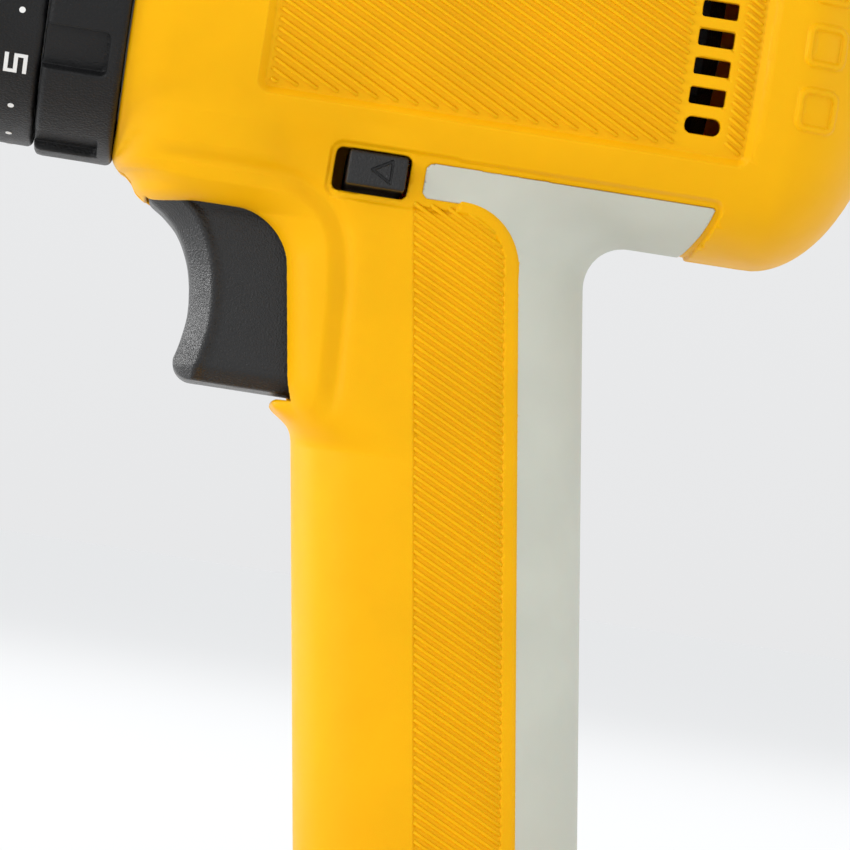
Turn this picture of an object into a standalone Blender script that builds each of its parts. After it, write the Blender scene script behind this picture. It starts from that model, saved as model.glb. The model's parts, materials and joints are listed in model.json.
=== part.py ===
"""Cordless drill-driver with a slide-on battery pack.

The chuck points along +X, the spindle axis lies at y = 0 and the pack stands on z = 0.
Every dimension below is in millimetres, and each mesh is scaled to metres when it is made.
Places on the upper body are often given as a depth below the spindle axis, so that
z = SPINDLE_HEIGHT - depth.
"""

import math

import bmesh
import bpy
from mathutils import Matrix, Vector

MM = 0.001

# Housing
SPINDLE_HEIGHT = 176.0
BARREL_HALF_WIDTH = 30.0
BARREL_UP = 31.0
BARREL_DOWN = 30.8
BARREL_POWER = 2.35
BARREL_FRONT = 57.0
BARREL_REAR = -54.6
WALL = 2.8
HANDLE_HALF_WIDTH = 17.0
HANDLE_POWER = 2.5
FRONT_RAKE = 0.161
REAR_RAKE = 0.1442
GRIP_SKIN = 1.6
SEAM = 0.1
BASE_HALF_LENGTH = 42.0
BASE_HALF_WIDTH = 31.5
BASE_LOW = 26.6
BASE_TOP = 36.2
PANEL_SINK = 0.8
VENTS = 7
VENT_PITCH = 4.16
VENT_HALF = 1.35
LIGHT_AIM = Vector((0.8, 0, -0.6))

# Collar
COLLAR_BORE = 23.3
BAND_RADIUS = 29.2
BAND_REAR = 68.8
BAND_FRONT = 83.0
MODE_RADIUS = 30.2
MODE_REAR = 57.3
MODE_FRONT = 68.5
POCKETS = 9

# Gears: both stages share one module and one size of ring
MODULE = 0.75
RING_TEETH = 48
SUN_1_TEETH = 12
PLANET_1_TEETH = 18
SUN_2_TEETH = 18
PLANET_2_TEETH = 15
PLANETS = 3
ADDENDUM = 0.42
DEDENDUM = 0.75

# Chuck
JAW_TILT = math.radians(15)
JAW_RADIUS = 2.6
JAW_TIP = 119.5
JAW_TIP_OFFSET = 3.9
JAW_LENGTH = 24.0
BIT_RADIUS = 3.0

# Trigger and controls
TRIGGER_HALF_WIDTH = 12.0
TRIGGER_GAP = 0.4
SELECTOR = (13.7, 22.3, 23.5, 28.5)

# Battery
CELL_RADIUS = 9.1
CELL_LENGTH = 65.0
CELL_STEP = 18.8
CELL_LOW = 2.5

RUBBER = ((0.60, 0.60, 0.54), 0.6, 0.0)
YELLOW = ((0.90, 0.49, 0.02), 0.42, 0.0)
BLACK = ((0.025, 0.025, 0.027), 0.5, 0.0)
STEEL = ((0.55, 0.55, 0.56), 0.3, 1.0)
DARK_STEEL = ((0.12, 0.12, 0.13), 0.35, 1.0)
BRASS = ((0.72, 0.5, 0.2), 0.3, 1.0)
COPPER = ((0.75, 0.33, 0.16), 0.35, 1.0)
CLEAR = ((0.85, 0.88, 0.9), 0.1, 0.0)
CELL_WRAP = ((0.10, 0.30, 0.55), 0.4, 0.0)
RED = ((0.55, 0.03, 0.02), 0.5, 0.0)


def collection(name, hidden=False):
    made = bpy.data.collections.new(name)
    bpy.context.scene.collection.children.link(made)
    made.hide_render = hidden
    return made


for old in list(bpy.data.objects):
    bpy.data.objects.remove(old, do_unlink=True)
PARTS = collection("cordless_drill")
CUTTERS = collection("cutters", hidden=True)


def finish_material(name, look):
    colour, roughness, metallic = look
    made = bpy.data.materials.new(name)
    made.use_nodes = True
    shader = made.node_tree.nodes["Principled BSDF"]
    shader.inputs["Base Color"].default_value = (*colour, 1)
    shader.inputs["Roughness"].default_value = roughness
    shader.inputs["Metallic"].default_value = metallic
    return made


def add_object(name, bm, look=None, pivot=None):
    """A mesh drawn in millimetres becomes an object in metres. A part has a look and a cutter has none."""
    bmesh.ops.recalc_face_normals(bm, faces=bm.faces)
    pivot = Vector(pivot or (0, 0, 0))
    bmesh.ops.translate(bm, verts=bm.verts, vec=-pivot)
    bmesh.ops.scale(bm, verts=bm.verts, vec=(MM, MM, MM))
    mesh = bpy.data.meshes.new(name)
    bm.to_mesh(mesh)
    bm.free()
    made = bpy.data.objects.new(name, mesh)
    made.location = pivot * MM
    if look is None:
        CUTTERS.objects.link(made)
        made.display_type = "WIRE"
        made.hide_render = True
    else:
        PARTS.objects.link(made)
        mesh.materials.append(finish_material(name, look))
    return made


def boolean(target, cutter, operation="DIFFERENCE"):
    modifier = target.modifiers.new(cutter.name, "BOOLEAN")
    modifier.object = cutter
    modifier.operation = operation
    modifier.solver = "EXACT"


def bevel(target, width, segments=2, angle=40):
    modifier = target.modifiers.new("bevel", "BEVEL")
    modifier.width = width * MM
    modifier.segments = segments
    modifier.limit_method = "ANGLE"
    modifier.angle_limit = math.radians(angle)


def smooth(target, angle=35):
    target.data.shade_smooth()
    target.data.set_sharp_from_angle(angle=math.radians(angle))
    return target


# ---- Shapes ----


def superellipse(half_a, half_b, power, count):
    """Points round a superellipse, as (a, b) pairs. half_b may be a pair, for above and below."""
    high, low = half_b if isinstance(half_b, tuple) else (half_b, half_b)
    points = []
    for step in range(count):
        turn = 2 * math.pi * (step + 0.5) / count
        cosine, sine = math.cos(turn), math.sin(turn)
        a = half_a * math.copysign(abs(cosine) ** (2 / power), cosine)
        b = (high if sine > 0 else low) * math.copysign(abs(sine) ** (2 / power), sine)
        points.append((a, b))
    return points


def loft(rings):
    """A closed skin over rings of 3-D points, which all have the same number of points."""
    bm = bmesh.new()
    rows = [[bm.verts.new(point) for point in ring] for ring in rings]
    for first, second in zip(rows, rows[1:]):
        for k in range(len(first)):
            nxt = (k + 1) % len(first)
            bm.faces.new((first[k], first[nxt], second[nxt], second[k]))
    bm.faces.new(rows[0])
    bm.faces.new(rows[-1])
    bmesh.ops.triangulate(bm, faces=bm.faces)
    return bm


def revolve(profile, segments=32):
    """A closed (x, radius) outline turned about the spindle axis."""
    bm = bmesh.new()
    points = [bm.verts.new((x, 0, SPINDLE_HEIGHT + radius)) for x, radius in profile]
    edges = [bm.edges.new(pair) for pair in zip(points, points[1:] + points[:1])]
    bmesh.ops.spin(
        bm,
        geom=points + edges,
        cent=(0, 0, SPINDLE_HEIGHT),
        axis=(1, 0, 0),
        angle=2 * math.pi,
        steps=segments,
        use_merge=True,
    )
    bmesh.ops.remove_doubles(bm, verts=bm.verts, dist=1e-4)
    bmesh.ops.dissolve_degenerate(bm, edges=bm.edges, dist=1e-5)
    loose = [edge for edge in bm.edges if not edge.link_faces]
    bmesh.ops.delete(bm, geom=loose, context="EDGES")
    return bm


def plate(outlines, to_3d, thickness):
    """Outlines filled as one flat face, with holes where they nest, then pushed along a vector."""
    bm = bmesh.new()
    edges = []
    for outline in outlines:
        points = [bm.verts.new(to_3d(a, b)) for a, b in outline]
        edges += [bm.edges.new(pair) for pair in zip(points, points[1:] + points[:1])]
    bmesh.ops.triangle_fill(bm, use_beauty=True, edges=edges)
    pushed = bmesh.ops.extrude_face_region(bm, geom=bm.faces[:], use_keep_orig=True)
    moved = [item for item in pushed["geom"] if isinstance(item, bmesh.types.BMVert)]
    bmesh.ops.translate(bm, verts=moved, vec=thickness)
    return bm


def side_prism(outline, y_low, y_high):
    """An (x, z) outline carried across the drill from y_low to y_high."""
    return plate([outline], lambda x, z: (x, y_low, z), (0, y_high - y_low, 0))


def disc_prism(outlines, x_low, x_high):
    """Outlines in the (y, z) plane about the spindle axis, carried from x_low to x_high."""
    return plate(outlines, lambda y, z: (x_low, y, z + SPINDLE_HEIGHT), (x_high - x_low, 0, 0))


def box(low, high):
    bm = bmesh.new()
    middle = [(a + b) / 2 for a, b in zip(low, high)]
    size = [b - a for a, b in zip(low, high)]
    matrix = Matrix.Translation(middle) @ Matrix.Diagonal((*size, 1))
    bmesh.ops.create_cube(bm, size=1, matrix=matrix)
    return bm


def rod(start, end, radius, segments=16):
    start, end = Vector(start), Vector(end)
    turn = (end - start).to_track_quat("Z", "X").to_matrix().to_4x4()
    bm = bmesh.new()
    bmesh.ops.create_cone(
        bm,
        cap_ends=True,
        segments=segments,
        radius1=radius,
        radius2=radius,
        depth=(end - start).length,
        matrix=Matrix.Translation((start + end) / 2) @ turn,
    )
    return bm


def joined(*meshes):
    """Several drawn meshes as one, for a cutter made of separate solids."""
    bm = bmesh.new()
    for part in meshes:
        mesh = bpy.data.meshes.new("part")
        bmesh.ops.recalc_face_normals(part, faces=part.faces)
        part.to_mesh(mesh)
        part.free()
        bm.from_mesh(mesh)
        bpy.data.meshes.remove(mesh)
    return bm


def circle(radius, count=24, centre=(0, 0)):
    turns = [2 * math.pi * k / count for k in range(count)]
    return [(centre[0] + radius * math.cos(t), centre[1] + radius * math.sin(t)) for t in turns]


def rounded_box_outline(a_low, a_high, b_low, b_high, radius, steps=5):
    points = []
    corners = ((a_high, b_high, 0), (a_low, b_high, 90), (a_low, b_low, 180), (a_high, b_low, 270))
    for a, b, first in corners:
        a_mid = a - math.copysign(radius, a - (a_low + a_high) / 2)
        b_mid = b - math.copysign(radius, b - (b_low + b_high) / 2)
        for step in range(steps + 1):
            turn = math.radians(first + 90 * step / steps)
            points.append((a_mid + radius * math.cos(turn), b_mid + radius * math.sin(turn)))
    return points


def arc(centre, radius, first, last, steps):
    """Points on an arc between two angles in degrees."""
    turns = [math.radians(first + (last - first) * k / steps) for k in range(steps + 1)]
    return [(centre[0] + radius * math.cos(t), centre[1] + radius * math.sin(t)) for t in turns]


def coil_object(name, start, end, radius, wire, turns, look):
    """A round-wire spring along a straight line, from a curve with filled ends."""
    start, end = Vector(start), Vector(end)
    frame = (end - start).to_track_quat("Z", "X").to_matrix()
    curve = bpy.data.curves.new(name, "CURVE")
    curve.dimensions = "3D"
    curve.bevel_depth = wire * MM
    curve.bevel_resolution = 0
    curve.use_fill_caps = True
    count = int(turns * 12)
    line = curve.splines.new("POLY")
    line.points.add(count)
    for k, point in enumerate(line.points):
        turn = 2 * math.pi * turns * k / count
        place = (radius * math.cos(turn), radius * math.sin(turn), (end - start).length * k / count)
        point.co = (*((start + frame @ Vector(place)) * MM), 1)
    made = bpy.data.objects.new(name, curve)
    PARTS.objects.link(made)
    curve.materials.append(finish_material(name, look))
    return made


def tube_object(name, points, radius, look):
    """A lead that follows a smooth route through a few points."""
    curve = bpy.data.curves.new(name, "CURVE")
    curve.dimensions = "3D"
    curve.bevel_depth = radius * MM
    curve.bevel_resolution = 0
    curve.resolution_u = 4
    curve.use_fill_caps = True
    line = curve.splines.new("BEZIER")
    line.bezier_points.add(len(points) - 1)
    for point, place in zip(line.bezier_points, points):
        point.co = [value * MM for value in place]
        point.handle_left_type = point.handle_right_type = "AUTO"
    made = bpy.data.objects.new(name, curve)
    PARTS.objects.link(made)
    curve.materials.append(finish_material(name, look))
    return made


# ---- Housing ----


def handle_front(depth):
    return 24.8 - FRONT_RAKE * (depth - 64.6)


def handle_rear(depth):
    return -15.8 - REAR_RAKE * (depth - 43.5)


def barrel(inset, rear=BARREL_REAR, front=BARREL_FRONT):
    """The motor barrel: a squared round section, with a rounded rear end."""
    stations = (
        (front, 30.0, 30.2, 30.2, 2.0),
        (50.0, 30.0, 30.6, 30.6, 2.15),
        (40.0, BARREL_HALF_WIDTH, BARREL_UP, BARREL_DOWN, BARREL_POWER),
        (0.0, BARREL_HALF_WIDTH, BARREL_UP, BARREL_DOWN, BARREL_POWER),
        (-40.0, BARREL_HALF_WIDTH, BARREL_UP, BARREL_DOWN, BARREL_POWER),
        (-45.0, 27.4, 28.4, 28.2, 2.3),
        (-48.9, 23.6, 24.4, 24.2, 2.3),
        (-51.1, 18.9, 19.6, 19.4, 2.2),
        (-53.6, 11.0, 11.5, 11.3, 2.1),
        (rear, 5.0, 5.0, 5.0, 2.0),
    )
    rings = []
    for x, half, up, down, power in stations:
        outline = superellipse(half - inset, (up - inset, down - inset), power, 40)
        x_in = x + inset * max(0.0, min(1.0, (-40 - x) / 10))
        rings.append([(x_in, y, SPINDLE_HEIGHT + z) for y, z in outline])
    return loft(rings)


def handle(inset):
    """The raked handle, which flares into the base below and into the barrel above."""
    stations = [
        (15.0, 46.0, -27.0, HANDLE_HALF_WIDTH),
        (30.6, 46.0, -24.0, HANDLE_HALF_WIDTH),
        (32.0, 43.0, -20.2, HANDLE_HALF_WIDTH),
        (33.6, 38.6, -18.2, HANDLE_HALF_WIDTH),
        (35.4, 34.6, -17.0, HANDLE_HALF_WIDTH),
        (38.4, 31.0, -16.2, HANDLE_HALF_WIDTH),
        (41.5, 29.0, -15.8, HANDLE_HALF_WIDTH),
        (52.0, 27.3, -16.9, HANDLE_HALF_WIDTH),
        (58.9, 26.3, -18.0, HANDLE_HALF_WIDTH),
        (61.5, 25.4, -18.4, HANDLE_HALF_WIDTH),
    ]
    stations += [(d, handle_front(d), handle_rear(d), HANDLE_HALF_WIDTH) for d in (70, 90, 110, 126)]
    stations += [
        (132.0, 15.2, -29.4, 18.0),
        (136.0, 17.6, -31.6, 20.5),
        (138.6, 23.0, -35.0, 24.5),
        (140.0, 29.0, -38.5, 27.5),
        (144.0, 32.0, -38.6, 28.0),
    ]
    rings = []
    for depth, front, rear, half in stations:
        outline = superellipse((front - rear) / 2 - inset, half - inset, HANDLE_POWER, 28)
        middle = (front + rear) / 2
        rings.append([(middle + x, y, SPINDLE_HEIGHT - depth) for x, y in outline])
    return loft(rings)


def chin():
    """The swelling under the nose, above the trigger."""
    stations = ((34.0, 29.0, 50.9, 14.5), (32.6, 28.0, 53.6, 17.0), (30.4, 27.0, 56.2, 19.5), (22.0, 26.0, 57.0, 24.0))
    rings = []
    for depth, rear, front, half in stations:
        outline = superellipse((front - rear) / 2, half, 3.0, 24)
        rings.append([((front + rear) / 2 + x, y, SPINDLE_HEIGHT - depth) for x, y in outline])
    return loft(rings)


def base_block(stations):
    rings = []
    for z, half_length, half_width in stations:
        outline = superellipse(half_length, half_width, 8.0, 32)
        rings.append([(x, y, z) for x, y in outline])
    return loft(rings)


def base():
    return base_block(
        (
            (BASE_LOW, BASE_HALF_LENGTH, BASE_HALF_WIDTH),
            (BASE_TOP - 2.6, BASE_HALF_LENGTH, BASE_HALF_WIDTH),
            (BASE_TOP - 0.8, BASE_HALF_LENGTH - 1.2, BASE_HALF_WIDTH - 1.2),
            (BASE_TOP, BASE_HALF_LENGTH - 3.4, BASE_HALF_WIDTH - 3.4),
        )
    )


def grip_border(depth):
    """Where the soft grip meets the handle's side panel."""
    return handle_front(depth) - 0.753 * (handle_front(depth) - handle_rear(depth))


def grip_zone(shrink=0.0):
    """The outline that the soft grip covers, seen from the side."""
    top, finger_low = 23.5 + shrink, 27.9 - shrink
    radius = 9.5
    corner = grip_border(37.5) + radius - shrink
    foot = grip_border(126.0) + radius - shrink
    outline = [(11.3 - shrink, top), (-31.2 + shrink, top)]
    outline += [(-30.4 + shrink, 26.5), (-28.9 + shrink, 29.2), (-27.6 + shrink, 30.9), (-27.6 + shrink, 40.0)]
    outline += [(-60.0, 48.0), (-60.0, 138.2 - shrink), (4.0 - shrink, 138.2 - shrink), (4.0 - shrink, 135.5 + shrink)]
    outline += [(a, b) for a, b in arc((foot, 126.0), radius, 90, 180, 5)]
    outline += [(a, b) for a, b in arc((corner, 37.5), radius, 180, 270, 5)]
    outline += [(11.3 - shrink, finger_low)]
    return [(x, SPINDLE_HEIGHT - depth) for x, depth in outline]


TRIGGER_FRONT = (
    (51.0, 34.3),
    (48.2, 36.4),
    (45.6, 38.9),
    (43.3, 43.7),
    (42.4, 49.5),
    (42.8, 54.0),
    (43.6, 57.4),
    (42.6, 59.7),
    (40.8, 60.4),
)
TRIGGER_REAR = ((24.4, 60.4), (25.2, 42.0), (27.4, 38.0), (31.0, 35.2), (36.0, 34.3))


def trigger_pocket():
    """The space that the trigger moves in, open at the front of the handle."""
    outline = [(62.0, 34.0), (62.0, 62.0), (30.0, 61.6), (15.9, 60.9), (15.9, 34.0)]
    return side_prism(
        [(x, SPINDLE_HEIGHT - depth) for x, depth in outline],
        -TRIGGER_HALF_WIDTH - TRIGGER_GAP,
        TRIGGER_HALF_WIDTH + TRIGGER_GAP,
    )


SCREWS = ((44.5, 30.5, 17.0), (-43.0, -18.0, 23.0), (-43.0, 18.0, 23.0), (8.0, 84.0, 14.5), (-3.0, 120.0, 15.0))


def housing_cutters():
    """The tools that hollow both halves. The screw bosses are left standing."""
    bore = add_object(
        "cut_barrel",
        revolve([(70, 0), (70, 26.8), (-36, 26.8), (-42, 24.6), (-46.5, 20.0), (-50.5, 12.0), (-51.5, 0)], 32),
    )
    grip_bore = add_object("cut_handle", handle(WALL))
    for x, depth, _ in SCREWS[1:]:
        z = SPINDLE_HEIGHT - depth
        boss = add_object(f"boss_{x:.0f}_{depth:.0f}", rod((x, -40, z), (x, 40, z), 3.8, 10))
        boolean(bore if abs(depth) < 30 else grip_bore, boss)
    x_low, x_high, high, low = SELECTOR
    top = SPINDLE_HEIGHT
    windows = [
        box((x_low - 0.3, -40, top - low - 0.53), (x_high + 2.47, 40, top - high + 0.57)),
        box((-13.2, -6.2, top + 25), (8.2, 6.2, top + 40)),
    ]
    for row in range(VENTS):
        z = top + (row - (VENTS - 1) / 2) * VENT_PITCH
        outline = rounded_box_outline(-30.7, -25.5, z - VENT_HALF, z + VENT_HALF, 1.0, 2)
        windows.append(side_prism(outline, -40, 40))
    middle = Vector((52.8, 0, top - 32.0))
    return [
        bore,
        grip_bore,
        add_object("cut_trigger", trigger_pocket()),
        add_object("cut_windows", joined(*windows)),
        add_object("cut_rail_web", box((-36.6, -18.5, BASE_LOW - 1), (60, 18.5, 29.3))),
        add_object("cut_rail_flange", box((-36.6, -22.5, 29.2), (60, 22.5, 31.5))),
        add_object("cut_lead_way", box((-33, -9, 31), (-22, 9, 38.5))),
        add_object("cut_light", rod(middle - LIGHT_AIM * 7, middle + LIGHT_AIM * 6, 2.75, 14)),
    ]


def side_panel():
    """A shallow sunk panel on the side of the barrel."""
    outline = rounded_box_outline(-35.0, 36.0, SPINDLE_HEIGHT - 15, SPINDLE_HEIGHT + 15, 2.0, 3)
    panel = add_object("cut_panel", side_prism(outline, -40, 40))
    core = add_object("panel_floor", barrel(PANEL_SINK))
    boolean(panel, core)
    return panel


def housing(side, zone, cutters):
    name = "housing_left" if side > 0 else "housing_right"
    made = add_object(name, barrel(0), YELLOW)
    for piece_name, drawn in (("handle", handle(0)), ("chin", chin()), ("base", base())):
        boolean(made, add_object(f"{name}_{piece_name}", drawn), "UNION")
    for cutter in cutters:
        boolean(made, cutter)
    boolean(made, zone)
    half = box((-90, SEAM, -10), (90, 60, 260)) if side > 0 else box((-90, -60, -10), (90, -SEAM, 260))
    boolean(made, add_object(f"{name}_half", half), "INTERSECT")
    holes = []
    for x, depth, head in SCREWS:
        z = SPINDLE_HEIGHT - depth
        if side > 0:
            holes.append(rod((x, -1, z), (x, 11, z), 1.5, 8))
        else:
            holes.append(rod((x, -40, z), (x, 1, z), 1.7, 8))
            holes.append(rod((x, -40, z), (x, 3.2 - head, z), 3.0, 12))
    for number, hole in enumerate(holes):
        boolean(made, add_object(f"{name}_hole_{number}", hole))
    return smooth(made)


def grip(side):
    """The soft skin moulded over the back of the handle, a wall's depth into the housing."""
    name = "grip_left" if side > 0 else "grip_right"
    made = add_object(name, handle(0.02), RUBBER)
    boolean(made, add_object(f"{name}_barrel", barrel(0.02)), "UNION")
    boolean(made, add_object(f"{name}_zone", side_prism(grip_zone(0.12), -45, 45)), "INTERSECT")
    for piece_name, drawn in (("core_handle", handle(GRIP_SKIN)), ("core_barrel", barrel(GRIP_SKIN))):
        boolean(made, add_object(f"{name}_{piece_name}", drawn))
    half = box((-90, SEAM, -10), (90, 60, 260)) if side > 0 else box((-90, -60, -10), (90, -SEAM, 260))
    boolean(made, add_object(f"{name}_half", half), "INTERSECT")
    return smooth(made)


def grip_recess():
    """The recess that the soft grip fills, a little deeper than the grip is thick."""
    zone = add_object("cut_grip", side_prism(grip_zone(), -45, 45))
    for piece_name, drawn in (("handle", handle(GRIP_SKIN + 0.15)), ("barrel", barrel(GRIP_SKIN + 0.15))):
        boolean(zone, add_object(f"cut_grip_{piece_name}", drawn))
    return zone


def screws():
    for number, (x, depth, head) in enumerate(SCREWS, 1):
        z = SPINDLE_HEIGHT - depth
        made = add_object(f"housing_screw_{number}", rod((x, -head + 2.9, z), (x, 10.5, z), 1.35, 8), DARK_STEEL)
        cap = add_object(f"screw_cap_{number}", rod((x, -head, z), (x, 3.0 - head, z), 2.7, 12))
        boolean(made, cap, "UNION")
        drive = box((x - 1.3, -head - 1, z - 0.35), (x + 1.3, 1.2 - head, z + 0.35))
        boolean(made, add_object(f"screw_slot_{number}", drive))


# ---- Collar, controls and light ----


def collar():
    band = [
        (BAND_REAR, COLLAR_BORE),
        (BAND_REAR, BAND_RADIUS - 0.5),
        (BAND_REAR + 0.5, BAND_RADIUS),
        (BAND_FRONT - 3.0, BAND_RADIUS),
        (BAND_FRONT - 0.9, BAND_RADIUS - 1.0),
        (BAND_FRONT, BAND_RADIUS - 3.0),
        (BAND_FRONT, COLLAR_BORE),
    ]
    pivot = (0, 0, SPINDLE_HEIGHT)
    smooth(add_object("torque_band", revolve(band, 54), BLACK, pivot))
    ring = [
        (MODE_REAR, COLLAR_BORE),
        (MODE_REAR, MODE_RADIUS - 0.4),
        (MODE_REAR + 0.4, MODE_RADIUS),
        (MODE_FRONT - 0.6, MODE_RADIUS - 0.35),
        (MODE_FRONT, MODE_RADIUS - 0.9),
        (MODE_FRONT, COLLAR_BORE),
    ]
    made = smooth(add_object("mode_ring", revolve(ring, 54), BLACK, pivot))
    pockets = []
    for number in range(POCKETS):
        pocket = box((59.6, -3.1, MODE_RADIUS - 1.3), (70.0, 3.1, MODE_RADIUS + 3))
        bmesh.ops.rotate(pocket, verts=pocket.verts, matrix=Matrix.Rotation(2 * math.pi * number / POCKETS, 3, "X"))
        bmesh.ops.translate(pocket, verts=pocket.verts, vec=(0, 0, SPINDLE_HEIGHT))
        pockets.append(pocket)
    boolean(made, add_object("cut_pockets", joined(*pockets)))


def controls():
    outline = [(x, SPINDLE_HEIGHT - depth) for x, depth in TRIGGER_FRONT + TRIGGER_REAR]
    made = add_object("trigger", side_prism(outline, -TRIGGER_HALF_WIDTH, TRIGGER_HALF_WIDTH), BLACK)
    bevel(made, 1.8, 3, 50)
    boolean(made, add_object("cut_trigger_bore", rod((20, 0, SPINDLE_HEIGHT - 55), (32, 0, SPINDLE_HEIGHT - 55), 2.7)))
    smooth(made)
    z = SPINDLE_HEIGHT - 55
    smooth(add_object("trigger_plunger", rod((9, 0, z), (31.5, 0, z), 2.4), STEEL))
    coil_object("trigger_spring", (16.2, 0, z), (23.6, 0, z), 4.0, 0.45, 4, STEEL)
    switch = add_object(
        "switch_body", box((-9, -9.5, SPINDLE_HEIGHT - 66), (15.4, 9.5, SPINDLE_HEIGHT - 45)), BLACK
    )
    bevel(switch, 1.0)
    boolean(switch, add_object("cut_switch_bore", rod((-1, 0, z), (20, 0, z), 2.8)))
    x_low, x_high, high, low = SELECTOR
    bar = add_object(
        "direction_selector",
        box((x_low, -18.6, SPINDLE_HEIGHT - low), (x_high, 21.4, SPINDLE_HEIGHT - high)),
        BLACK,
    )
    bevel(bar, 0.7)
    slider = add_object(
        "speed_selector",
        box((-9.0, -5.8, SPINDLE_HEIGHT + 28.0), (-1.0, 5.8, SPINDLE_HEIGHT + 33.0)),
        BLACK,
    )
    bevel(slider, 0.8)
    middle = Vector((52.8, 0, SPINDLE_HEIGHT - 32.0))
    light = add_object("work_light", rod(middle - LIGHT_AIM * 5, middle + LIGHT_AIM * 0.9, 2.55, 14), CLEAR)
    bevel(light, 0.5)


# ---- Gear train ----


def gear_outline(teeth, phase, internal=False):
    """Plain trapezoid teeth with backlash, starting with a tooth's middle at the phase angle."""
    pitch_radius = MODULE * teeth / 2
    way = -1 if internal else 1
    step = 2 * math.pi / teeth
    corners = (
        (-0.25, -DEDENDUM),
        (-0.11, ADDENDUM),
        (0.11, ADDENDUM),
        (0.25, -DEDENDUM),
    )
    points = []
    for tooth in range(teeth):
        for share, height in corners:
            turn = phase + step * (tooth + share)
            radius = pitch_radius + way * height
            points.append((radius * math.cos(turn), radius * math.sin(turn)))
    return points


def planet_phase(sun_teeth, planet_teeth, place):
    """The planet's own angle that puts a gap opposite a tooth of a sun whose angle is zero."""
    return place + math.pi + sun_teeth / planet_teeth * place - math.pi / planet_teeth


def stage(number, sun_teeth, planet_teeth, x_low, x_high, ring_low, ring_high):
    """The ring gear and the planets of one stage. The sun belongs to the piece that drives it."""
    distance = MODULE * (sun_teeth + planet_teeth) / 2
    first = planet_phase(sun_teeth, planet_teeth, 0)
    ring_phase = 2 * math.pi / RING_TEETH * (planet_teeth * first / (2 * math.pi) + 0.5)
    ring = disc_prism([circle(20.2, 24), gear_outline(RING_TEETH, ring_phase, True)], ring_low, ring_high)
    add_object(f"ring_gear_{number}", ring, STEEL)
    for planet in range(PLANETS):
        place = 2 * math.pi * planet / PLANETS
        phase = planet_phase(sun_teeth, planet_teeth, place)
        centre = (distance * math.cos(place), distance * math.sin(place))
        teeth = [(a + centre[0], b + centre[1]) for a, b in gear_outline(planet_teeth, phase)]
        made = disc_prism([teeth, circle(1.7, 8, centre)], x_low, x_high)
        pivot = (0, centre[0], SPINDLE_HEIGHT + centre[1])
        add_object(f"planet_{number}_{planet + 1}", made, STEEL, pivot)


def carrier_pins(sun_teeth, planet_teeth, x_low, x_high):
    distance = MODULE * (sun_teeth + planet_teeth) / 2
    pins = []
    for planet in range(PLANETS):
        place = 2 * math.pi * planet / PLANETS
        y, z = distance * math.cos(place), SPINDLE_HEIGHT + distance * math.sin(place)
        pins.append(rod((x_low, y, z), (x_high, y, z), 1.45, 8))
    return joined(*pins)


def gear_train():
    pivot = (0, 0, SPINDLE_HEIGHT)
    stage(1, SUN_1_TEETH, PLANET_1_TEETH, 33.3, 41.8, 33.0, 42.0)
    stage(2, SUN_2_TEETH, PLANET_2_TEETH, 46.3, 53.6, 46.0, 53.4)
    pinion = disc_prism([gear_outline(SUN_1_TEETH, 0), circle(1.8, 10)], 31.0, 42.1)
    add_object("motor_pinion", pinion, BRASS, pivot)
    carrier = add_object("planet_carrier", revolve([(42.7, 0), (42.7, 13.4), (45.4, 13.4), (45.4, 0)]), STEEL, pivot)
    pins = carrier_pins(SUN_1_TEETH, PLANET_1_TEETH, 33.4, 43.5)
    boolean(carrier, add_object("carrier_pins", pins), "UNION")
    sun = disc_prism([gear_outline(SUN_2_TEETH, 0)], 45.0, 54.1)
    boolean(carrier, add_object("carrier_sun", sun), "UNION")
    shaft = [(54.7, 0), (54.7, 14.6), (58.0, 14.6), (58.0, 6.0), (98.0, 6.0), (98.0, 2.6), (88.0, 2.6), (87.0, 0)]
    spindle = smooth(add_object("output_spindle", revolve(shaft, 24), STEEL, pivot))
    pins = carrier_pins(SUN_2_TEETH, PLANET_2_TEETH, 46.4, 55.5)
    boolean(spindle, add_object("spindle_pins", pins), "UNION")
    bearing = [(74.2, 6.15), (74.2, 10.9), (81.0, 10.9), (81.0, 6.15)]
    smooth(add_object("spindle_bearing", revolve(bearing, 20), DARK_STEEL))
    plate_ring = [(59.6, 13.0), (59.6, 19.8), (61.4, 19.8), (61.4, 13.0)]
    smooth(add_object("clutch_plate", revolve(plate_ring, 24), STEEL))
    axis = SPINDLE_HEIGHT
    coil_object("clutch_spring", (63.0, 0, axis), (72.0, 0, axis), 16.0, 1.2, 3, STEEL)
    case = [
        (32.0, 20.7),
        (32.0, 26.3),
        (56.8, 26.3),
        (56.8, 22.8),
        (84.0, 22.8),
        (85.2, 21.6),
        (85.2, 8.0),
        (81.3, 8.0),
        (81.3, 11.05),
        (74.0, 11.05),
        (74.0, 20.7),
    ]
    top = SPINDLE_HEIGHT
    case = smooth(add_object("gearbox_case", revolve(case, 32), DARK_STEEL))
    boolean(case, add_object("cut_fork_way", box((31, -1.6, top + 18), (56, 1.6, top + 25.4))))
    cover = [(28.6, 5.6), (28.6, 26.0), (31.7, 26.0), (31.7, 20.4), (30.4, 20.4), (30.4, 5.6)]
    cover = smooth(add_object("motor_plate", revolve(cover, 28), STEEL))
    boolean(cover, add_object("cut_fork_notch", box((28, -1.6, top + 21.5), (32.5, 1.6, top + 28))))


# ---- Motor ----


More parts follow.
